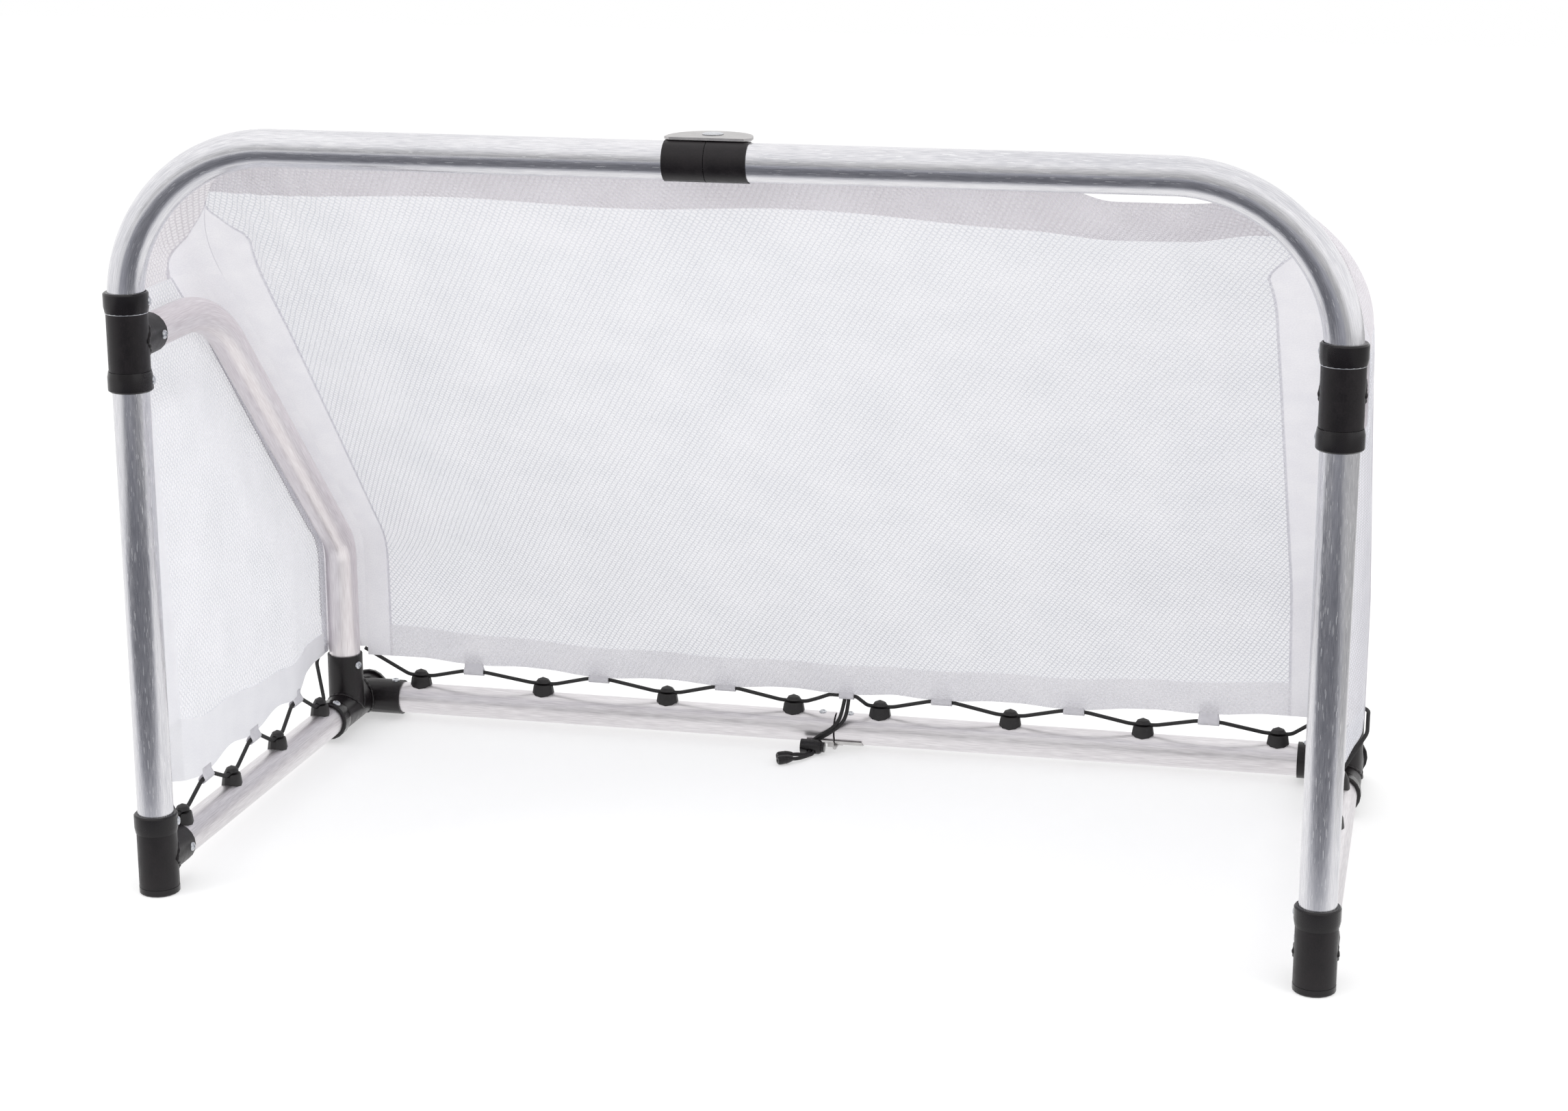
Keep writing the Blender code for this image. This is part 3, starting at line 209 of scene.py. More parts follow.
def ringMesh(name, points, rings, sides, material, closed=False):
    # Each ring is the number of its point, its radius and its shift along the line
    frames = framesAlong(points)
    verts, faces, uvs, run = [], [], [], [0.0]
    for i, radius, shift in rings:
        point, tangent, normal = frames[i]
        side = tangent.cross(normal)
        centre = point + tangent * shift
        for j in range(sides):
            turn = 2 * pi * j / sides
            verts.append(centre + (normal * cos(turn) + side * sin(turn)) * radius)
        if len(verts) > sides:
            run.append(run[-1] + (verts[-sides] - verts[-2 * sides]).length)
    girth = 2 * pi * max(radius for _, radius, _ in rings)
    count = len(rings)
    for k in range(count if closed else count - 1):
        a, b = k * sides, ((k + 1) % count) * sides
        high = run[k + 1] if k + 1 < count else run[k]
        for j in range(sides):
            after = (j + 1) % sides
            faces.append((a + j, a + after, b + after, b + j))
            near, far = girth * j / sides, girth * (j + 1) / sides
            uvs += [(near, run[k]), (far, run[k]), (far, high), (near, high)]
    if not closed:
        for first, order in ((0, -1), ((count - 1) * sides, 1)):
            faces.append(tuple(range(first, first + sides))[::order])
            uvs += [(0.0, 0.0)] * sides
    return toMesh(name, verts, faces, uvs, material)


def lathe(name, profile, origin, direction, sides, material):
    points = [origin, origin + direction.normalized()]
    rings = [(0, radius, shift) for radius, shift in profile]
    return ringMesh(name, points, rings, sides, material)


def frameTube(name, points, material):
    # A drawn tube with its wall, its bore and slightly broken end edges
    edge, inner = 0.0004, tubeR - tubeWall
    last = len(points) - 1
    outer = [(0, tubeR - edge, 0), (0, tubeR, edge)]
    outer += [(i, tubeR, 0) for i in range(1, last)]
    outer += [(last, tubeR, -edge), (last, tubeR - edge, 0)]
    bore = [(i, inner, 0) for i in range(last, -1, -1)]
    return ringMesh(name, points, outer + bore, 56, material, closed=True)


def runs(points):
    # Distance along a line at each of its points
    found = [0.0]
    for a, b in zip(points, points[1:]):
        found.append(found[-1] + (b - a).length)
    return found


def clothMesh(name, columns, rows, mapping, material, anchor=0):
    # A grid of cloth; its texture runs from the anchor column, at its real size
    points = [[mapping(u, v) for u in columns] for v in rows]
    verts = [point for row in points for point in row]
    wide = len(columns)
    flat = []
    for row, level in zip(points, runs([row[anchor] for row in points])):
        run = runs(row)
        flat += [(value - run[anchor], level) for value in run]
    faces = []
    for j in range(len(rows) - 1):
        for k in range(j * wide, (j + 1) * wide - 1):
            faces.append((k, k + 1, k + wide + 1, k + wide))
    uvs = [flat[k] for face in faces for k in face]
    return toMesh(name, verts, faces, uvs, material, 180)


def spaced(start, end, count):
    return [start + (end - start) * i / count for i in range(count + 1)]


def straight(start, end, count):
    return [start.lerp(end, i / count) for i in range(count + 1)]


def smoothRoute(points, steps):
    padded = [points[0], *points, points[-1]]
    found = []
    for a, b, c, d in zip(padded, padded[1:], padded[2:], padded[3:]):
        for i in range(steps):
            t = i / steps
            bend = (2 * a - 5 * b + 4 * c - d) * t ** 2 + (3 * b - a - 3 * c + d) * t ** 3
            found.append(b + ((c - a) * t + bend) / 2)
    return [*found, points[-1]]


def arcPoints(centre, radius, start, end, steps, acrossDir):
    turns = map(radians, spaced(start, end, steps))
    return [centre + acrossDir * (radius * cos(a)) + up * (radius * sin(a)) for a in turns]


def wiggle(point, scale, seed=0.0):
    # Smooth noise from -1 to 1
    return noise.noise(point * scale + Vector((seed, seed * 1.7, 3.1)))


# Materials: inputs get values or links, by name or in order; a node given as a value
# stands for its own first output
def feed(node, inputs):
    for key, value in inputs.items() if isinstance(inputs, dict) else enumerate(inputs):
        if key in ("From", "To"):    # both ends of a range
            feed(node, {key + " Min": value[0], key + " Max": value[1]})
        elif isinstance(value, bpy.types.Node):
            feed(node, {key: value.outputs[0]})
        elif isinstance(value, bpy.types.NodeSocket):
            node.id_data.links.new(value, node.inputs[key])
        else:
            node.inputs[key].default_value = value


def put(tree, kind, inputs=None, **settings):
    # Adds a node; kinds other than shader nodes are given by their whole type
    made = tree.nodes.new(kind if "Node" in kind else "ShaderNode" + kind)
    for key, value in settings.items():
        setattr(made, key, value)
    feed(made, inputs or {})
    return made


def linear(text):
    parts = [int(text[i:i + 2], 16) / 255 for i in (1, 3, 5)]
    return (*[c / 12.92 if c <= 0.04045 else ((c + 0.055) / 1.055) ** 2.4 for c in parts], 1)


def surface(name, look):
    # Two noises give a surface its colour variation, roughness and bump
    made = bpy.data.materials.new(name)
    made.use_nodes = True
    add = partial(put, made.node_tree)
    coords = add("TexCoord")
    spot = add("Mapping", {
        "Vector": coords.outputs[look.get("coords", "Object")],
        "Scale": look.get("stretch", (1, 1, 1))})
    broad = add("TexNoise", {"Vector": spot, "Scale": look["broad"], "Detail": 4.0})
    fine = add("TexNoise", {"Vector": spot, "Scale": look["fine"], "Detail": 2.0})
    both = add("Math", (broad, fine), operation="ADD")
    spread = {"Value": both, "From": (0.75, 1.25)}    # where most of the sum lies
    low, high = map(linear, look["hex"])
    tint = add("Mix", {0: add("MapRange", spread), 6: low, 7: high},
               data_type="RGBA").outputs[2]
    rough = add("MapRange", {**spread, "To": look["rough"]})
    bump = add("Bump", {"Height": both, "Strength": look["bump"], "Distance": look["depth"]})
    shader = made.node_tree.nodes["Principled BSDF"]
    feed(shader, {
        "Metallic": look.get("metallic", 0.0), "IOR": look.get("ior", 1.5),
        "Base Color": tint, "Roughness": rough, "Normal": bump})
    return made, {"add": add, "shader": shader, "tint": tint, "rough": rough,
                  "bump": bump, "uv": coords.outputs["UV"]}


# Mill aluminium, drawn tube: long faint die lines and small scratches
tubeLook = {
    "metallic": 1.0, "coords": "UV", "stretch": (1, 0.06, 1), "broad": 60, "fine": 900,
    "hex": ("#CECED3", "#EEEDF0"), "rough": (0.17, 0.28), "bump": 0.10, "depth": 0.0001,
    "scratchHex": "#F6F6F8", "scratchDull": 0.24, "scratchEdge": (0.765, 0.795),
    "scratchSets": ((0.5, 0.0), (-0.35, 7.0), (1.3, 3.0)),    # turn and shift of each set
    "scratchScale": (900, 62, 1),    # 1 mm wide, wider than real ones so that they show
}
aluminium, parts = surface("drawn_mill_aluminium", tubeLook)
add, marks = parts["add"], []
for turn, seed in tubeLook["scratchSets"]:
    spot = add("Mapping", {
        "Vector": parts["uv"], "Rotation": (0, 0, turn),
        "Location": (seed, seed, 0), "Scale": tubeLook["scratchScale"]})
    line = add("TexNoise", {"Vector": spot, "Scale": 1.0, "Detail": 0.0})
    marks.append(add("MapRange", {"Value": line, "From": tubeLook["scratchEdge"]}))
most = add("Math", marks[:2], operation="MAXIMUM")
most = add("Math", (most, marks[2]), operation="MAXIMUM")
scratched = add("Mix", {
    0: most, 6: parts["tint"], 7: linear(tubeLook["scratchHex"])}, data_type="RGBA")
dulled = add("Math", (
    most, tubeLook["scratchDull"], parts["rough"]), operation="MULTIPLY_ADD")
feed(parts["shader"], {"Base Color": scratched.outputs[2], "Roughness": dulled})

# The side frames' bent tube, duller and a little warm, with long soft streaks; its paler
# colour is painted light, brightening it against the shade it sits in
dullLook = {
    "metallic": 1.0, "coords": "UV", "stretch": (1, 0.05, 1), "broad": 45, "fine": 800,
    "hex": ("#DFD8DA", "#FCF8F9"), "rough": (0.30, 0.48), "bump": 0.10, "depth": 0.0001,
}
dullAluminium = surface("handled_mill_aluminium", dullLook)[0]
# Tubes along the floor, a greyer copy of the same aluminium
groundAluminium = surface("rubbed_mill_aluminium", {
    **dullLook, "hex": ("#CFCBCE", "#EFECEE"), "rough": (0.34, 0.48)})[0]

# Powder-coated steel of the welded tees: satin black with a slight orange peel
powder = surface("powder_coated_steel", {
    "broad": 90, "fine": 620, "hex": ("#0E0A0D", "#191417"), "rough": (0.32, 0.46),
    "ior": 1.42, "bump": 0.25, "depth": 0.0003})[0]
# Injection-moulded black plastic of collars, caps and plugs: a little glossier
plastic = surface("moulded_black_plastic", {
    "broad": 40, "fine": 1500, "hex": ("#0C090B", "#141013"), "rough": (0.18, 0.30),
    "ior": 1.44, "bump": 0.12, "depth": 0.0002})[0]
# Soft moulded plastic of the net hooks: charcoal and nearly matt
rubbery = surface("soft_moulded_hooks", {
    "broad": 120, "fine": 1800, "hex": ("#171516", "#242223"), "rough": (0.42, 0.58),
    "ior": 1.46, "bump": 0.2, "depth": 0.0002})[0]
# Bright zinc plate on pressed screws, washers, rivet and bolts
zinc = surface("bright_zinc_plate", {
    "metallic": 1.0, "broad": 300, "fine": 1500, "hex": ("#B9BCC2", "#DCDDE0"),
    "rough": (0.24, 0.40), "bump": 0.08, "depth": 0.0001})[0]
# Hinge plate and leaves: pressed steel, blasted and plated a soft grey
plateSteel = surface("blasted_plated_steel", {
    "metallic": 1.0, "broad": 80, "fine": 1300, "hex": ("#B4B2B2", "#CFCDCC"),
    "rough": (0.38, 0.54), "bump": 0.12, "depth": 0.0001})[0]
# Grey sewing thread of the seams, matt against the net
thread = surface("polyester_thread", {
    "broad": 300, "fine": 1900, "hex": ("#A9A6AB", "#BDBABF"), "rough": (0.7, 0.85),
    "bump": 0.3, "depth": 0.0002})[0]


def cloth(name, look):
    # Thin polyester lets through part of the light behind it, so that no fold goes dark
    made, parts = surface(name, {"coords": "UV", **look})
    add = parts["add"]
    behind = add("BsdfTranslucent", {"Color": parts["tint"], "Normal": parts["bump"]})
    parts["cloth"] = add("MixShader", (look["through"], parts["shader"], behind))
    parts["end"] = made.node_tree.nodes["Material Output"]
    feed(parts["end"], {"Surface": parts["cloth"]})
    return made, parts


# Woven polyester tape of the tabs: the whitest cloth, with a fine grain
tape = cloth("woven_white_tape", {
    "broad": 200, "fine": 900, "through": 0.4,
    "hex": ("#E8E7EB", "#F3F2F5"), "rough": (0.8, 0.92), "bump": 0.2, "depth": 0.0003})[0]

# Elastic cord: round black braid over rubber, its strands crossing at 45 degrees
braidLook = {
    "coords": "UV", "broad": 300, "fine": 1600, "hex": ("#171617", "#282728"),
    "rough": (0.62, 0.80), "bump": 0.3, "depth": 0.0002,
    "plaitScale": 280.0,    # strands 1.1 mm apart, coarser than real ones so that they show
    "plaitBump": 0.6, "plaitDepth": 0.0004,
}
braid, parts = surface("braided_elastic_cord", braidLook)
add, plaits = parts["add"], []
for turn in (0.785, -0.785):
    spot = add("Mapping", {"Vector": parts["uv"], "Rotation": (0, 0, turn)})
    wave = add("TexWave", {"Vector": spot, "Scale": braidLook["plaitScale"]})
    plaits.append(wave.outputs[1])
plait = add("Math", plaits, operation="MULTIPLY")
feed(parts["shader"], {"Normal": add("Bump", {
    "Height": plait, "Strength": braidLook["plaitBump"], "Distance": braidLook["plaitDepth"],
    "Normal": parts["bump"]})})


# Knitted net: slanted rows of six-sided holes, staggered; threads are soft and matt
def knitted(name, look):
    made, parts = cloth(name, look)
    add, uv = parts["add"], parts["uv"]
    wide, high = look["pitch"]
    slanted = (1 / wide, look["slant"] / wide, 0)
    sideways = add("VectorMath", (uv, slanted), operation="DOT_PRODUCT")
    upwards = add("VectorMath", (uv, (0, 1 / high, 0)), operation="DOT_PRODUCT")
    spot = add("CombineXYZ", (sideways.outputs["Value"], upwards.outputs["Value"]))
    sway = add("TexNoise", {"Vector": uv, "Scale": look["swayScale"], "Detail": 1.0})
    moved = add("VectorMath", (sway.outputs[1], look["sway"], spot), operation="MULTIPLY_ADD")
    nearest = []
    for shift in (0.0, 0.5):
        cell = add("VectorMath", (moved, (shift,) * 3), operation="ADD")
        cell = add("VectorMath", (cell,), operation="FRACTION")
        cell = add("VectorMath", (cell, (0.5, 0.5, 0)), operation="SUBTRACT")
        cell = add("VectorMath", (cell, look["narrow"]), operation="MULTIPLY")
        nearest.append(add("VectorMath", (cell,), operation="LENGTH").outputs["Value"])
    # A thread runs midway between holes of two rows, and past each hole's rounded ends
    least = add("Math", nearest, operation="MINIMUM")
    rim = add("MapRange", {"Value": least, "From": look["rim"]})
    apart = add("Math", nearest, operation="SUBTRACT")
    apart = add("Math", (apart,), operation="ABSOLUTE")
    strand = add("MapRange", {"Value": apart, "From": look["strand"]})
    knit = add("Math", (rim, strand), operation="MAXIMUM")
    cover = add("MapRange", {"Value": knit, "To": (1 - look["clear"], 1.0)})
    feed(parts["end"], {"Surface": add("MixShader", (
        cover, add("BsdfTransparent"), parts["cloth"]))})
    return made


meshLook = {
    "broad": 14, "fine": 700, "hex": ("#D8D9DF", "#E4E4E9"), "rough": (0.82, 0.95),
    "bump": 0.15, "depth": 0.0003, "through": 0.30,
    "pitch": (0.0067, 0.0084), "slant": 0.25, "narrow": (1.0, 1.15, 0),    # of the lattice
    "sway": (0.16, 0.16, 0), "swayScale": 60.0,    # threads wander by a share of a pitch
    "rim": (0.38, 0.43), "strand": (0.18, 0.12),    # where cloth begins, shares of a pitch
    "clear": 0.38,    # what a hole lets through
}
netMesh = knitted("knitted_net", meshLook)
# Hem of the same net folded double, so its holes are nearly shut
netDouble = knitted("knitted_net_double", {
    **meshLook, "hex": ("#DAD6DA", "#E5E2E6"), "clear": 0.30,
    "rim": (0.33, 0.38), "strand": (0.25, 0.19)})
# Lower hem, also double, lies flat; its colour is painted brighter, as painted light
netHem = knitted("knitted_net_hem_painted_brighter", {
    **meshLook, "hex": ("#F1F0F3", "#F8F7F9"), "clear": 0.15,
    "rim": (0.31, 0.36), "strand": (0.28, 0.22)})
# Side panels: the same net in a brighter colour, painted light for the more light they catch
netSide = knitted("knitted_side_net_painted_brighter", {**meshLook, "hex": ("#DBDCE1", "#E7E7EC")})
# Close-knit polyester of the bands, opaque beside the mesh, with a grain of about 2 mm
bandLook = {
    "broad": 22, "fine": 520, "hex": ("#E5E4E9", "#EFEEF1"), "through": 0.55,
    "rough": (0.85, 0.95), "bump": 0.3, "depth": 0.0004,
}
bandKnit = cloth("close_knit_band", bandLook)[0]
# Hem and front border of the side nets, the same knit, its colour painted brighter as painted
# light
sideBand = cloth("close_knit_side_band_painted_brighter", {
    **bandLook, "hex": ("#F1F1F4", "#F9F9FB"), "through": 0.15, "bump": 0.25})[0]
print("materials made")

# Free ends of the cord, hanging from the middle tab through the lock to the floor
tail = {
    "cordR": 0.0023, "space": 0.0052,    # cord's radius, and its two bores' distance
    "topSpace": 0.0064,    # the strands' distance as they leave the tab
    "lockX": -0.0235, "lockLead": 0.0308, "lockR": 0.0090, "tiltUp": radians(30),
    "bells": {-1: (-0.0200, -0.0230), 1: (-0.0160, -0.0380)},    # from the lock, x and y
    "bellR": 0.0055, "bellLen": 0.020,
    "bellShape": ((0.40, 0.0), (0.52, 0.0), (0.60, 0.06), (0.80, 0.22), (0.96, 0.42),
                  (0.99, 0.50), (0.93, 0.54), (1.0, 0.60), (1.0, 0.84), (0.92, 0.94),
                  (0.70, 1.0), (0.30, 1.0), (0.22, 0.92)),    # shares of both
}
tabsAt = {"centre": 0.017, "rear": (0.1331, 0.2923, 0.4515), "side": (0.1351, 0.2719, 0.4087)}
tabLook = {"loopR": 0.0040, "half": 0.0125, "centreHalf": 0.0090, "thick": 0.0009,
           "rearZ": rearBarZ + tubeR + 0.030, "sideZ": 0.083, "cordHalf": 0.014}


def assign(piece, body, node=None):
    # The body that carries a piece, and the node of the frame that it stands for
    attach(piece, body)
    if node:
        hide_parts(node)


def rearTab(x):
    spot = backPoint(x / backHalf, netLowZ)
    spot.z = tabLook["rearZ"]
    return spot


def sideTab(side, y):
    end = outlineY(sideLowZ) - wrapDepth(sideLowZ)
    spot = sidePoint(side, (y - netOut) / (end - netOut), sideLowZ)
    spot.z = tabLook["sideZ"]
    return spot


def settled(route, passes=6):
    # Rounds the bends of a limp cord, whose points move by about 1 mm at most
    for _ in range(passes):
        inner = [(a + b * 2 + c) / 4 for a, b, c in zip(route, route[1:], route[2:])]
        route = [route[0], *inner, route[-1]]
    return route


def cordMesh(name, route, sides):
    rings = [(i, tail["cordR"], 0) for i in range(len(route))]
    return ringMesh(name, route, rings, sides, braid)


lockAxis = place(tail["lockX"], rearBarY - tail["lockLead"], tail["lockR"] + gap)
holeDir = Vector((0, cos(tail["tiltUp"]), sin(tail["tiltUp"])))
bellHeading = Vector((-0.8, -0.6, 0))
beforeBar = rearBarY + postY - tubeR - tail["cordR"] - 0.0012
for side, label, title in hands:
    shift = right * (side * tail["space"] / 2)
    wide = right * (side * tail["topSpace"] / 2)
    top = rearTab(tabsAt["centre"])
    hole = lockAxis + shift
    bellX, bellY = tail["bells"][side]
    bell = Vector((lockAxis.x + bellX, lockAxis.y + bellY, tail["bellR"] + gap))
    route = settled(smoothRoute([
        Vector((top.x, top.y, top.z - 0.0040)) + wide * 0.75,    # inside the tab's loop
        Vector((0.0125, beforeBar, 0.047)) + wide,    # down before the bar
        Vector((0.004, beforeBar, 0.034)) + shift,
        Vector((-0.008, beforeBar, 0.0245)) + shift,
        hole + holeDir * 0.0115 + right * 0.0022,    # into the lock
        hole,
        hole - holeDir * 0.0105,
        Vector((hole.x - 0.004, hole.y - 0.0155, tail["cordR"] + 0.0012)),    # on the floor
        bell - bellHeading * 0.008 + Vector((0, 0, -0.0012)),
        bell + bellHeading * 0.004], 6))
    strand = cordMesh("cordTail" + title, route, 14)
    profile = [(tail["bellR"] * r, tail["bellLen"] * z) for r, z in tail["bellShape"]]
    end = lathe("cordBell" + title, profile, bell, bellHeading, 28, plastic)
    assign(strand, "rear_left", "cord_tail")
    assign(end, "rear_left")
    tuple(route[0])
    runs(route)[-1]
print("cord tail made")

# Lacing cords, held by hooks and tabs; CAD gives one stretch for each body
lacing = {
    "wrapR": 0.0211 + 0.001 + 0.0023 + 0.0016,    # tee, clearance, cord and slack
    "hookReach": 0.015, "hookZ": 0.0115,
    "rearHooks": (0.0535, 0.1592), "baseHooks": (0.0667, 0.1368),    # first one and pitch
    "corner": 0.006,    # how far a corner is cut back
}


def hookEnds(centre, along):
    # Both ends of a hook's bore, in the direction of the cord's run
    lift = (up - along * up.dot(along)).normalized() * (tubeR + lacing["hookZ"])
    reach = lacing["hookReach"]
    return [centre + along * step + lift for step in (-reach, reach)]


def eased(run):
    # Corners of a run cut to short curves, so that the cord bends softly
    found = [run[0]]
    for before, spot, after in zip(run, run[1:], run[2:]):
        a, b = [spot + arm.normalized() * min(lacing["corner"], arm.length * 0.45)
                for arm in (before - spot, after - spot)]
        for t in spaced(0, 1, 4):
            found.append(a * (1 - t) ** 2 + spot * (2 * t * (1 - t)) + b * t ** 2)
    return [*found, run[-1]]


for side, label, title in hands:
    width = back * tabLook["cordHalf"]
    run = [place(side * half, 0.033, 0.0988), place(side * half, 0.037, 0.0868)]
    first, pitch = lacing["baseHooks"]
    for i in range(4):
        run += hookEnds(basePoint(side, first + i * pitch), baseDir)
        if i < 3:
            spot = sideTab(side, tabsAt["side"][i])
            run += [spot - width, spot + width]
    # Round the upright, above its socket
    reach = lacing["wrapR"]
    run.append(place(side * (half + reach), uprightY - 0.030, 0.092))
    for angle in (-12, 12, 36, 60, 86):
        turn = radians(angle)
        run.append(place(side * (half + reach * cos(turn)), uprightY + reach * sin(turn),
                         socketTop + 0.011))
    run.append(place(side * (half - 0.0135), uprightY + reach, socketTop + 0.005))
    assign(cordMesh("sideLacing" + title, eased(run), 12), "side_" + label,
           "lacing_cord_" + label)
    width = right * (side * tabLook["cordHalf"])
    centre = rearTab(tabsAt["centre"])
    start = Vector((side * gap, centre.y, centre.z))
    if side > 0:
        tabEnd = right * (tabLook["centreHalf"] + 0.002)
        run = [start, centre - tabEnd, centre + tabEnd]
    else:
        run = [start, start + Vector((-0.004, 0, 0)), start + Vector((-0.020, 0.006, -0.008))]
    first, pitch = lacing["rearHooks"]
    for i in range(4):
        run += hookEnds(place(side * (first + i * pitch), rearBarY, rearBarZ), right * side)
        if i < 3:
            spot = rearTab(side * tabsAt["rear"][i])
            run += [spot - width, spot + width]
    run.append(place(side * (half - 0.0165), uprightY + reach + 0.001, socketTop))
    assign(cordMesh("rearLacing" + title, eased(run), 12), "rear_" + label,
           "rear_lacing_cord_" + label)
print("lacing cords made")

# Frame tubes, bent from drawn aluminium tube
for side, label, title in hands:
    inward = right * -side
    x = side * half
    foot = place(x, 0, plugRim)
    centre = place(x, 0, cornerZ) + inward * cornerR
    bow = [*[foot + up * (cornerZ - plugRim) * k / 12 for k in range(12)],
           *arcPoints(centre, cornerR, 180, 90, 40, inward)]
    middle = place(side * gap, 0, height)
    bow += [bow[-1].lerp(middle, k / 10) for k in range(1, 11)]
    bent = [place(x, setback, upperTeeZ),
            *arcPoints(place(x, *bend1), upperBendR, 90, 45, 24, back),
            *arcPoints(place(x, *bend2), lowerBendR, 45, 0, 14, back),
            place(x, uprightY, uprightZ + setback)]
    base = straight(basePoint(side, setback), basePoint(side, capSeatS - gap), 8)
    bar = straight(place(side * (half - setback), rearBarY, rearBarZ),
                   place(side * 0.001, rearBarY, rearBarZ), 8)
    for piece, points, material, node, body in (
            ("bow", bow, aluminium, "front_tube_", "front_"),
            ("bentTube", bent, dullAluminium, "bent_tube_", "side_"),
            ("baseTube", base, groundAluminium, "base_tube_", "side_"),
            ("rearBar", bar, groundAluminium, "rear_bar_", "rear_")):
        assign(frameTube(piece + title, points, material), body + label,
               node + label)
print("tubes made")

# Frame pieces kept from CAD, shaded smooth where their facets meet at less than 0.6 radians
tree = bpy.data.node_groups.new("softFacets", "GeometryNodeTree")
add = partial(put, tree)
for way in ("INPUT", "OUTPUT"):
    tree.interface.new_socket("Geometry", in_out=way, socket_type="NodeSocketGeometry")
plain = add("GeometryNodeRemoveAttribute", {0: add("NodeGroupInput"), "Name": "custom_normal"})
welded = add("GeometryNodeMergeByDistance", {0: plain, "Distance": 1e-6})
faceted = add("GeometryNodeSetShadeSmooth", (welded,), domain="FACE")
shallow = add("FunctionNodeCompare", (add("GeometryNodeInputMeshEdgeAngle"), 0.6),
              data_type="FLOAT", operation="LESS_EQUAL")
rounded = add("GeometryNodeSetShadeSmooth", {0: faceted, "Shade Smooth": shallow},
              domain="EDGE")
add("NodeGroupOutput", (rounded,))
finishes = (
    (powder, ("upper_tee", "lower_tee", "rear_tee", "bar_tee", "hinge_sleeve")),
    (plastic, ("collar", "rear_collar", "foot_plug", "end_cap", "cord_lock")),
    (rubbery, ("base_hook", "rear_hook")), (plateSteel, ("hinge_plate", "rear_hinge_leaf")),
    (zinc, ("hinge_rivet",)),
)
for name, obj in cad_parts.items():
    for material, starts in finishes:
        if name.startswith(starts):
            obj.data.materials.clear()
            obj.data.materials.append(material)
            if not obj.hide_render:
                obj.modifiers.new("softFacets", "NODES").node_group = tree
print("frame pieces dressed")

# Screws with a cross recess, bolts of the rear bar's hinge and weld beads
screw = {
    "radius": 0.0047, "rise": 0.0026, "skirt": 0.0012, "sides": 48, "levels": 16,
    "slotHalf": 0.0009, "slotReach": 0.0027, "slotDepth": 0.0016,
    "inset": 0.0002, "collarSkin": 0.0228, "lead": 0.0415, "collarStep": 0.041,
}


def screwMesh():
    sides, levels = screw["sides"], screw["levels"]
    circle = [(cos(2 * pi * j / sides), sin(2 * pi * j / sides)) for j in range(sides)]
    verts, faces = [], []
    for i in range(levels + 1):
        share = i / levels
        r = screw["radius"] * share
        for c, s in circle:
            x, y = r * c, r * s
            z = screw["rise"] * (1 - 0.55 * share ** 4 - 0.12 * share ** 2)
            if (min(abs(x), abs(y)) < screw["slotHalf"]
                    and max(abs(x), abs(y)) < screw["slotReach"]):
                z -= screw["slotDepth"] * (1 - 0.35 * r / screw["slotReach"])
            verts.append((x, y, z))
        for j in range(sides):
            a, b, k = i * sides, (i + 1) * sides, (j + 1) % sides
            faces.append((a + j, b + j, b + k, a + k))
    r = screw["radius"]
    verts += [(r * c, r * s, -screw["skirt"]) for c, s in circle]
    return verts, faces


verts, faces = screwMesh()
screwData = bpy.data.meshes.new("screwHead")
screwData.from_pydata(verts, [], faces)
screwData.materials.append(zinc)
screwData.shade_smooth()
screwData.set_sharp_from_angle(angle=radians(50))


def addScrew(name, centre, out, reach, body, turn):
    made = addObject(name, screwData)
    out = out.normalized()
    aim = up.rotation_difference(out).to_matrix().to_4x4()
    spin = Matrix.Rotation(turn, 4, "Z")
    made.matrix_world = Matrix.Translation(centre + out * reach) @ aim @ spin
    assign(made, body)


for side, label, title in hands:
    x, inner = side * half, right * -side
    base, bow, bar = [part + label for part in ("side_", "front_", "rear_")]
    skin, rim = sleeveR - screw["inset"], screw["collarSkin"]
    lead, step = screw["lead"], screw["collarStep"]
    slanted = inner + back * 0.35
    for name, spot, out, reach, body, turn in (
            ("UpperTee", place(x, lead, upperTeeZ), inner, skin, base, 0.3),
            ("LowerTee", basePoint(side, lead), inner, skin, base, 0.7),
            ("CollarOver", place(x, 0, upperTeeZ + step), slanted, rim, bow, 0.1),
            ("CollarUnder", place(x, 0, upperTeeZ - step), slanted, rim, bow, 1.0),
            ("CollarLow", place(x, 0, lowerTeeZ + step), slanted, rim, bow, 0.5),
            ("Socket", place(x, uprightY, 0.084), inner - back * 0.4, skin, base, 0.8),
            ("BarSocket", place(x - side * 0.045, rearBarY, rearBarZ), up, skin, bar, 0.2),
            ("RearCollar", basePoint(side, 0.512), up + inner * 0.4, rim, base, 0.6)):
        addScrew("screw" + name + title, spot, out, reach, body, turn)
    # Bright washer between the upper tee and the collar over it
    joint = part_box("upper_tee_" + label)[1].z
    edge = sleeveR + 0.0004
    profile = [(edge - inset, rise) for inset, rise in (
        (0.0012, 0.0), (0.0002, 0.0), (0.0, 0.0002), (0.0, 0.0011), (0.0002, 0.0013),
        (0.0012, 0.0013))]
    washer = lathe("washerUpper" + title, profile, place(x, 0, joint - 0.0004), up, 64, zinc)
    assign(washer, bow)
    addScrew("boltRearBar" + title, place(side * 0.017, rearBarY, rearBarZ), up,
             tubeR - 0.0004, bar, 0.9)

weld = {"radius": 0.0017, "steps": 150, "ripple": 0.16, "pitch": 0.9, "grain": 0.22,
        "grainScale": 420, "lift": 0.0004}


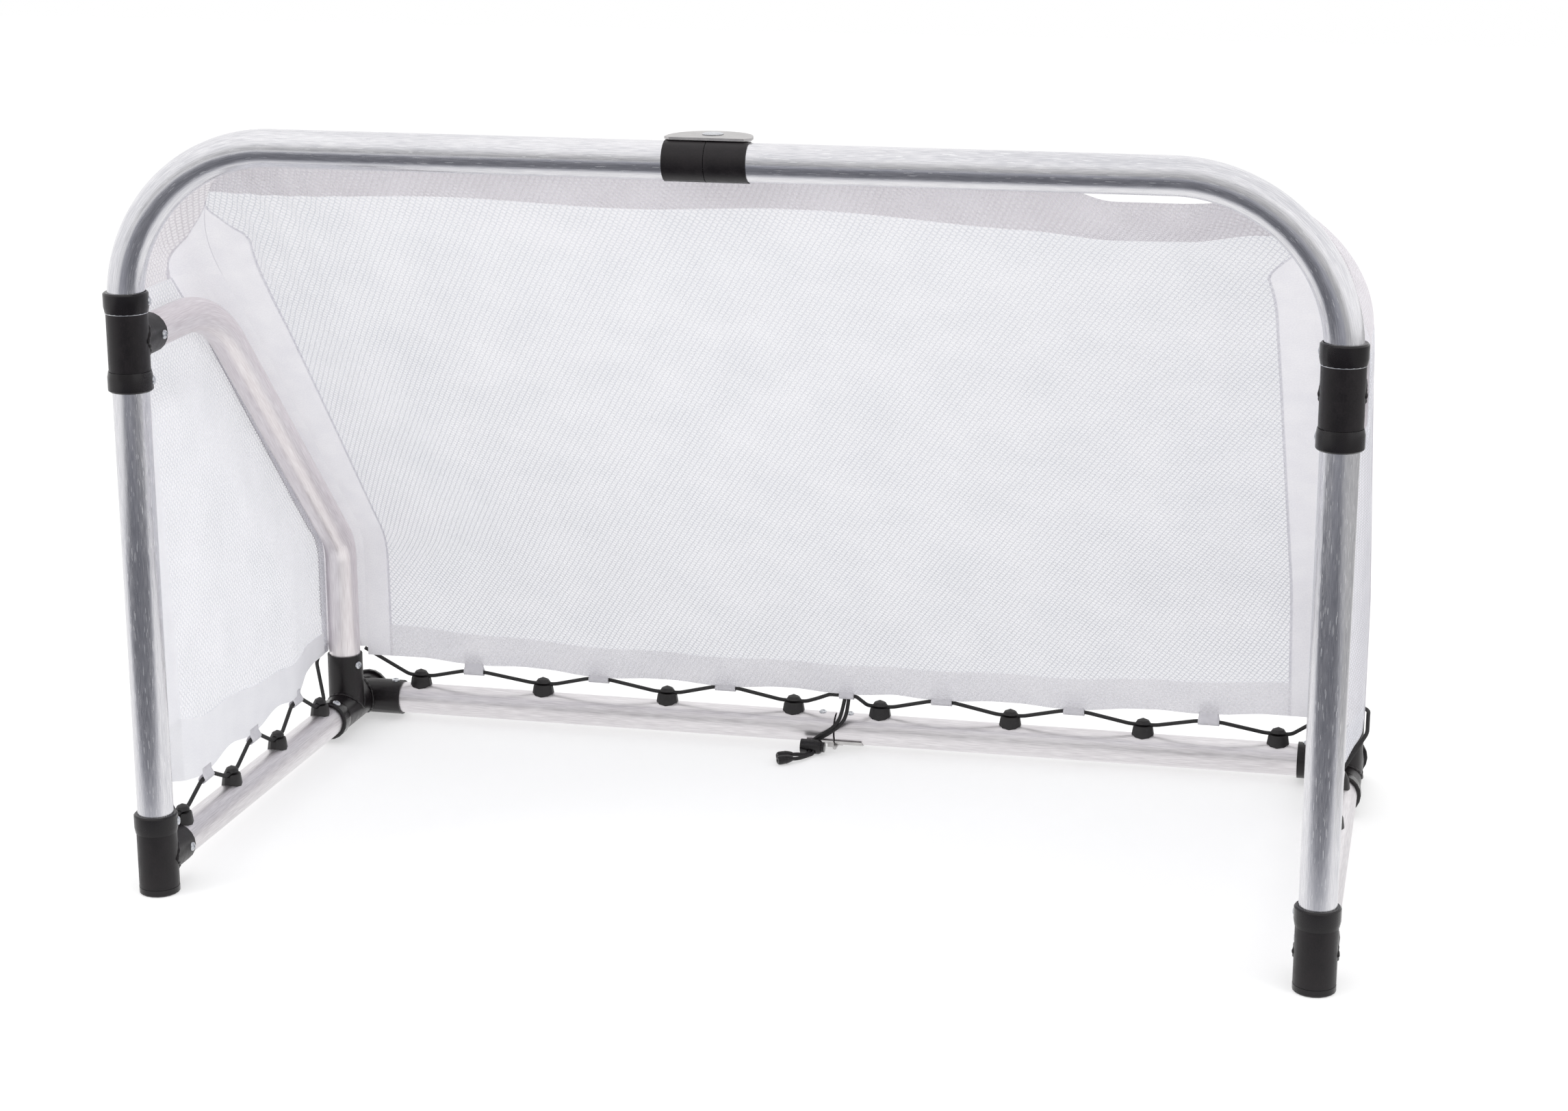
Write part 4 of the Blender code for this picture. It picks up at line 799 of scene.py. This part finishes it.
def weldBead(name, middle, axis, branch, body):
    # A ripple of weld where a branch meets its sleeve, both of the same radius
    cross = axis.cross(branch)
    points, rings = [], []
    for i in range(weld["steps"] + 1):
        turn = 2 * pi * i / weld["steps"]
        level = sleeveR * sin(turn)
        reach = sqrt(max(0.0, sleeveR ** 2 - level ** 2)) + weld["lift"]
        spot = middle + axis * (sleeveR * cos(turn)) + cross * level + branch * reach
        ripple = (1 + weld["ripple"] * sin(i * weld["pitch"])
                  + weld["grain"] * noise.noise(spot * weld["grainScale"]))
        points.append(spot)
        rings.append((i, weld["radius"] * ripple, 0))
    assign(ringMesh(name, points, rings, 12, powder), body)


for side, label, title in hands:
    body = "side_" + label
    weldBead("weldUpper" + title, place(side * half, 0, upperTeeZ), up, back, body)
    weldBead("weldLower" + title, place(side * half, 0, lowerTeeZ), up, baseDir, body)
    weldBead("weldRear" + title, basePoint(side, uprightS), baseDir, up, body)
    weldBead("weldBar" + title, basePoint(side, rearBarS), baseDir, right * -side,
             "rear_" + label)
print("screws and welds made")

# Net, with its hems, bands, tabs and seams
net = {
    "hemDrop": (0.744, 0.730),    # z of the top hem's lower edge, left and right
    "scallop": 0.0035, "tabFlat": 0.012, "tabEase": 0.055,    # hem rises between the tabs
    "bottomHem": 0.042, "lift": 0.0008,
    "bandBottom": {-1: 0.032, 1: 0.044}, "bandTop": 0.056,    # widths of the side bands
    "bandEnd": 0.730,    # which narrow to their ends here
    "underBand": 0.003,    # mesh and hems reach this far under them
    "topSag": 0.026, "sagFrom": (0.30, 0.525),    # net hangs away from the crossbar here
    "lowAll": 0.004, "lowMiddle": 0.0095,    # lower hem hangs lower in the middle
    "wave": 0.0030, "waves": ((5.0, 0.0, 0.9), (14.0, 4.0, 0.35)),    # scale, seed, share
    "crease": 0.0030,    # fine upright folds at the upper left
    "squashKeep": 0.10, "cornerKeep": 0.35,
    "flat": 0.97, "sideFlat": (0.56, 0.54), "cornerFlat": (0.30, 0.16),
    "sideWave": 0.0022, "sideWaves": ((6.0, 2.0, 1.0), (15.0, 5.0, 0.4)),
    "sideHem": ((0.078, 0.169), (0.132, 0.156), (0.228, 0.153), (0.330, 0.142),
                (0.415, 0.137), (0.500, 0.129), (0.600, 0.126)),    # its top: y and z
    "wrapFrom": 0.965, "wrapTo": 3.06,    # band round the bent tube, as in sidePoint
    "seam": (0.150, 0.550, 200), "seamAt": 0.958, "seamHalf": 0.0035, "threadR": 0.0004,
}
netLift = net["lift"]
wrapFrom, wrapTo = net["wrapFrom"], net["wrapTo"]
sideTop = cornerZ - 0.0009
rearTabXs = sorted([-x for x in tabsAt["rear"]] + list(tabsAt["rear"]) + [tabsAt["centre"]])


def scalloped(x, tabs):
    # Share from 0 at a tab to 1 midway between two
    near = min(abs(x - tab) for tab in tabs)
    return smooth((near - net["tabFlat"]) / net["tabEase"])


def waved(spot, waves):
    return sum(share * wiggle(spot, scale, seed) for scale, seed, share in waves)


def backCloth(lift, u, z):
    # Back net with its waves and scallops; lift sets a band in front of the mesh
    spot = backPoint(u, z)
    nearBottom = 1 - smooth((z - netLowZ) / 0.10)
    wave = waved(spot, net["waves"]) * net["wave"] * (1 - 0.7 * nearBottom)
    crease = sin(spot.x * 190 + wiggle(spot, 8.0) * 3) * smooth((-u - 0.55) / 0.3)
    crease *= smooth((z - 0.55) / 0.15) * net["crease"]
    fade = smooth((1 - abs(u)) / 0.10) * smooth((netTopZ - z) / 0.04)
    spot.y += fade * (wave - crease)
    drop = net["lowAll"] + net["lowMiddle"] * smooth((0.54 - abs(spot.x)) / 0.30)
    spot.z += nearBottom * (net["scallop"] * scalloped(spot.x, rearTabXs) - drop)
    start, end = net["sagFrom"]
    loose = smooth((spot.x - start) / 0.09) * smooth((end - spot.x) / 0.07)
    spot.z -= net["topSag"] * loose * smooth((z - 0.70) / 0.09)
    spot.y -= lift
    return spot


def bandWidth(side, z):
    # A band narrows to nothing below the top corner
    low = net["bandBottom"][side]
    share = (z - netLowZ) / (netTopZ - netLowZ)
    return (low + (net["bandTop"] - low) * share) * smooth((net["bandEnd"] - z) / 0.05)


def meshPoint(lift, u, z):
    under = max(0.0, bandWidth(-1 if u < 0 else 1, z) - net["underBand"])
    return backCloth(lift, u * (1 - under / backHalf), z)


def topHem(u, v):
    low, high = net["hemDrop"]
    edge = low + (high - low) * smooth((u - 0.1) / 0.7) + 0.003 * sin(u * 9)
    return meshPoint(netLift, u, edge + (netTopZ - edge) * v)


def bottomHem(u, v):
    return meshPoint(netLift, u, netLowZ + net["bottomHem"] * v)


def backBand(side, v, z):
    return backCloth(netLift * 0.6, side * (1 - bandWidth(side, z) / backHalf * v), z)


def tabPiece(name, spot, along, halfWidth, hemZ):
    # A folded tape: round the cord, and both plies up to the hem
    out = along.cross(up)
    radius, ply = tabLook["loopR"], tabLook["thick"]
    turns = map(radians, spaced(-215, 35, 20))
    loop = [(radius * cos(turn), radius * sin(turn)) for turn in turns]
    outline = [(-ply, hemZ - spot.z), (-ply, radius * 1.7), *loop,
               (ply, radius * 1.7), (ply, hemZ - spot.z)]

    def mapping(u, v):
        run = v * (len(outline) - 1)
        i = min(int(run), len(outline) - 2)
        t = run - i
        flat = outline[i][0] * (1 - t) + outline[i + 1][0] * t
        high = outline[i][1] * (1 - t) + outline[i + 1][1] * t
        waist = 1 - 0.10 * smooth(high / 0.012)
        return spot + along * (u * halfWidth * waist) + out * flat + up * high
    piece = clothMesh(name, spaced(-1, 1, 8), spaced(0, 1, len(outline) - 1), mapping, tape)
    thick = piece.modifiers.new("thickness", "SOLIDIFY")
    thick.thickness = ply
    thick.offset = 0
    return piece


backColumns = spaced(-1, 1, 200)
netBack = clothMesh("netBack", backColumns, spaced(netLowZ, netTopZ, 130),
                    partial(meshPoint, 0), netMesh, anchor=100)
backPieces = [
    clothMesh("netTopHem", backColumns, spaced(0, 1, 10), topHem, netDouble, anchor=100),
    clothMesh("netBottomHem", backColumns, spaced(0, 1, 8), bottomHem, netHem, anchor=100),
]
for side, label, title in hands:
    bandRows = spaced(netLowZ, net["bandEnd"] - 0.002, 120)
    backPieces.append(clothMesh("netBackBand" + title, spaced(0, 1, 8), bandRows,
                                partial(backBand, side), bandKnit))
for i, x in enumerate(rearTabXs):
    halfWidth = tabLook["centreHalf" if x == tabsAt["centre"] else "half"]
    backPieces.append(tabPiece("rearTab" + str(i + 1), rearTab(x), right, halfWidth,
                               netLowZ + 0.010))
for piece in [netBack, *backPieces]:
    assign(piece, "side_left")
    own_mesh(piece)
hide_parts("net_back")
print("back net made")


def hemTop(y):
    # Height of the side hem's upper edge at a distance behind the posts
    rows = net["sideHem"]
    y = min(max(y, rows[0][0]), rows[-1][0])
    for (y0, z0), (y1, z1) in zip(rows, rows[1:]):
        if y <= y1:
            return z0 + (z1 - z0) * (y - y0) / (y1 - y0)


def sideCloth(side, lift, along, z):
    spot = sidePoint(side, along, z)
    if along <= 1:
        y = spot.y - postY
        nearBottom = 1 - smooth((z - sideLowZ) / 0.08)
        fade = smooth((1 - along) / 0.12) * smooth(along / 0.06)
        wave = waved(spot, net["sideWaves"]) * net["sideWave"]
        spot.x += side * fade * wave * (1 - 0.6 * nearBottom)
        frontUp = 1 - smooth((y - 0.030) / 0.055)
        spot.z += nearBottom * (0.008 * scalloped(y, tabsAt["side"]) - 0.010 + 0.012 * frontUp)
    spot.x -= side * lift
    return spot


def sideHem(side, along, v):
    y = sidePoint(side, along, sideLowZ).y - postY
    return sideCloth(side, netLift * 1.3, along, sideLowZ + (hemTop(y) - sideLowZ) * v)


def cornerCloth(side, along, z):
    # Net between the bow's corner and the bent tube, gathered a little at the top
    spot = sidePoint(side, along, z)
    gather = sin(z * 260 + along * 5) * 0.0016 * smooth((z - 0.66) / 0.05)
    spot.x += side * gather * smooth(along / 0.2) * smooth((1 - along) / 0.2)
    return spot


def bandStart(z):
    # The band goes on up the corner beside the mesh, and narrows to its end
    share = smooth((z - sideTop) / (net["bandEnd"] - sideTop))
    return wrapFrom + (wrapTo - wrapFrom) * share


def cornerMesh(side, v, z):
    return cornerCloth(side, v * bandStart(z), z)


def cornerBand(side, v, z):
    start = max(0.0, bandStart(z) - 0.06)
    spot = cornerCloth(side, start + (wrapTo - start) * v, z)
    return spot - Vector((side * 0.0005, 0.0005, 0))


for side, label, title in hands:
    body = "side_" + label
    sideRows = spaced(sideLowZ, sideTop, 90)
    panel = clothMesh("netSide" + title, spaced(0, 0.995, 80), sideRows,
                      partial(sideCloth, side, 0), netSide)
    wrapColumns = [wrapFrom, 0.985, 1, *spaced(1.1, 2, 9), 2.25, 2.5, 2.75, wrapTo]
    wrap = clothMesh("netWrapBand" + title, wrapColumns, sideRows,
                     partial(sideCloth, side, -0.0004), bandKnit)
    border = clothMesh("netFrontBorder" + title, spaced(0, 0.10, 8), sideRows,
                       partial(sideCloth, side, netLift), sideBand)
    hem = clothMesh("netSideHem" + title, spaced(0, 0.97, 60), spaced(0, 1, 8),
                    partial(sideHem, side), sideBand)
    # Zigzag seam beside the band
    points = [sideCloth(side, netLift * 1.6,
                        net["seamAt"] + net["seamHalf"] * (1 if i % 2 else -1), z)
              for i, z in enumerate(spaced(*net["seam"]))]
    seam = ringMesh("netSeam" + title, points,
                    [(i, net["threadR"], 0) for i in range(len(points))], 6, thread)
    trims = [wrap, border, hem, seam]
    for i, y in enumerate(tabsAt["side"]):
        trims.append(tabPiece("sideTab" + title + str(i + 1), sideTab(side, y), back,
                              tabLook["half"], sideLowZ - 0.004))
    for piece in (panel, *trims):
        assign(piece, body)
    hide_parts("net_" + label)
    cornerRows = spaced(sideTop, netTopZ - 0.001, 40)
    corner = clothMesh("netCorner" + title, spaced(0, 1, 36), cornerRows,
                       partial(cornerMesh, side), netDouble)
    bandRows = spaced(sideTop, net["bandEnd"], 24)
    band = clothMesh("netCornerBand" + title, spaced(0, 1, 24), bandRows,
                     partial(cornerBand, side), bandKnit)
    joint = "fold" if side < 0 else "right_post_turn"
    for piece in (corner, band):
        assign(piece, body)
        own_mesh(piece)
    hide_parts("net_back")
print("side nets made")

# Floor and light: a white studio. For glossy rays the floor glows as a painted reflection,
# darker in front, which shows in the tubes
studio = {
    "white": "#FFFFFF", "matt": "#E7E7E7", "seen": "#CBCBCB", "cool": "#F2F4FF",
    "floorGlow": 0.45, "reflectedPaleFloor": 1.0, "reflectedDarkFloor": (0.214, 0.492),
    "darkFrom": (-0.32, -0.84),    # y where the floor's painted dark reflection begins
    "darkTo": (-1.9, -4.2),    # and where it grows paler again
    "darkHalf": (2.3, 1.5),    # and half its width, to each side of
    "darkMiddle": -0.10,    # this x
    "reflectedRightGrey": 0.50, "rightFrom": (0.95, 1.45),    # painted reflection is greyer further right than this
    "world": 1.0, "front": 0.46, "around": 1.06, "top": (1.32, 0.98),    # strengths
    "frontEdge": (-0.60, -0.93), "topEdge": (-0.42, -0.08), "topFrom": 0.85,
    "boxes": {    # place, target, size and power of the lamps
        "topBox": ((0.2, -0.6, 2.7), (0, 0, 0.3), (2.4, 1.4), 16),
        "leftBox": ((-2.3, -1.8, 1.7), (0, 0, 0.4), (1.0, 1.6), 20),
        "rightBox": ((2.6, -1.4, 1.5), (0, 0, 0.4), (0.8, 1.4), 14),
    },
}
corners = [(x, y, -0.0002) for x, y in ((-9, -9), (9, -9), (9, 9), (-9, 9))]
floorMesh = bpy.data.meshes.new("studioFloor")
floorMesh.from_pydata(corners, [], [(0, 1, 2, 3)])
floor = addObject("studioFloor", floorMesh)
floorPaint = bpy.data.materials.new("white_floor_paint")
floorPaint.use_nodes = True
floorPaint.node_tree.nodes.clear()
add = partial(put, floorPaint.node_tree)
rays = add("LightPath")
white = linear(studio["white"])
softStep = {"interpolation_type": "SMOOTHSTEP"}
matt = add("BsdfDiffuse", {"Color": linear(studio["matt"])})
pale = add("BsdfDiffuse", {"Color": linear(studio["seen"])})
glow = add("Emission", {"Color": white, "Strength": studio["floorGlow"]})
seen = add("AddShader", (pale, glow))
spot = add("SeparateXYZ", (add("TexCoord").outputs["Object"],))
ahead = add("MapRange", {"Value": spot.outputs[1], "From": studio["darkFrom"]}, **softStep)
aside = add("Math", (spot, studio["darkMiddle"]), operation="SUBTRACT")
aside = add("Math", (aside,), operation="ABSOLUTE")
between = add("MapRange", {"Value": aside, "From": studio["darkHalf"]}, **softStep)
dark = add("Math", (ahead, between), operation="MULTIPLY")
depth = add("MapRange", {
    "Value": spot.outputs[1], "From": studio["darkTo"], "To": studio["reflectedDarkFloor"]})
reflectionGlow = add("Mix", {0: dark, 2: studio["reflectedPaleFloor"], 3: depth}, data_type="FLOAT")
toRight = add("MapRange", {
    "Value": spot, "From": studio["rightFrom"], "To": (1.0, studio["reflectedRightGrey"])}, **softStep)
reflectionGlow = add("Math", (reflectionGlow, toRight), operation="MINIMUM")
cool = add("Mix", {0: dark, 6: white, 7: linear(studio["cool"])}, data_type="RGBA")
# Painted reflection: for glossy rays only, the floor glows darker in front and to the right,
# though it is no lamp
mirrored = add("Emission", {"Color": cool.outputs[2], "Strength": reflectionGlow})
bounced = add("MixShader", (rays.outputs["Is Glossy Ray"], matt, mirrored))
mixed = add("MixShader", (rays.outputs["Is Camera Ray"], bounced, seen))
add("OutputMaterial", {"Surface": mixed})
floorMesh.materials.append(floorPaint)

world = bpy.data.worlds.new("studio")
scene.world = world
world.use_nodes = True
world.node_tree.nodes.clear()
add = partial(put, world.node_tree)
rays = add("LightPath")
way = add("SeparateXYZ", (add("TexCoord").outputs["Generated"],))
beside = add("MapRange", {
    "Value": way.outputs[1], "From": studio["frontEdge"], "To": (1.0, 0.0)}, **softStep)
overhead = add("MapRange", {
    "Value": way, "From": studio["topEdge"], "To": studio["top"]}, **softStep)
lifted = add("MapRange", {
    "Value": way.outputs[2], "From": (0.0, studio["topFrom"]),
    "To": (studio["front"], overhead)})
room = add("Mix", {0: beside, 2: lifted, 3: studio["around"]}, data_type="FLOAT")
glossy = add("Background", {"Color": white, "Strength": room})
ambient = add("Background", {"Color": white, "Strength": studio["world"]})
plainWhite = add("Background", {"Color": white, "Strength": 1.0})
lit = add("MixShader", (rays.outputs["Is Glossy Ray"], ambient, glossy))
backdrop = add("Math", (
    rays.outputs["Is Camera Ray"], rays.outputs["Is Transmission Ray"]), operation="MAXIMUM")
add("OutputWorld", {"Surface": add("MixShader", (backdrop, lit, plainWhite))})

for name, (location, target, size, power) in studio["boxes"].items():
    lamp = bpy.data.lights.new(name, "AREA")
    lamp.shape = "RECTANGLE"
    lamp.size, lamp.size_y = size
    lamp.energy = power
    box = addObject(name, lamp)
    box.location = location
    aim = Vector(target) - Vector(location)
    box.rotation_euler = aim.to_track_quat("-Z", "Y").to_euler()
    box.visible_glossy = False    # the lamps are not mirrored in the tubes; the world and the floor's painted reflection are
scene.view_settings.view_transform = "Standard"
print("studio made")
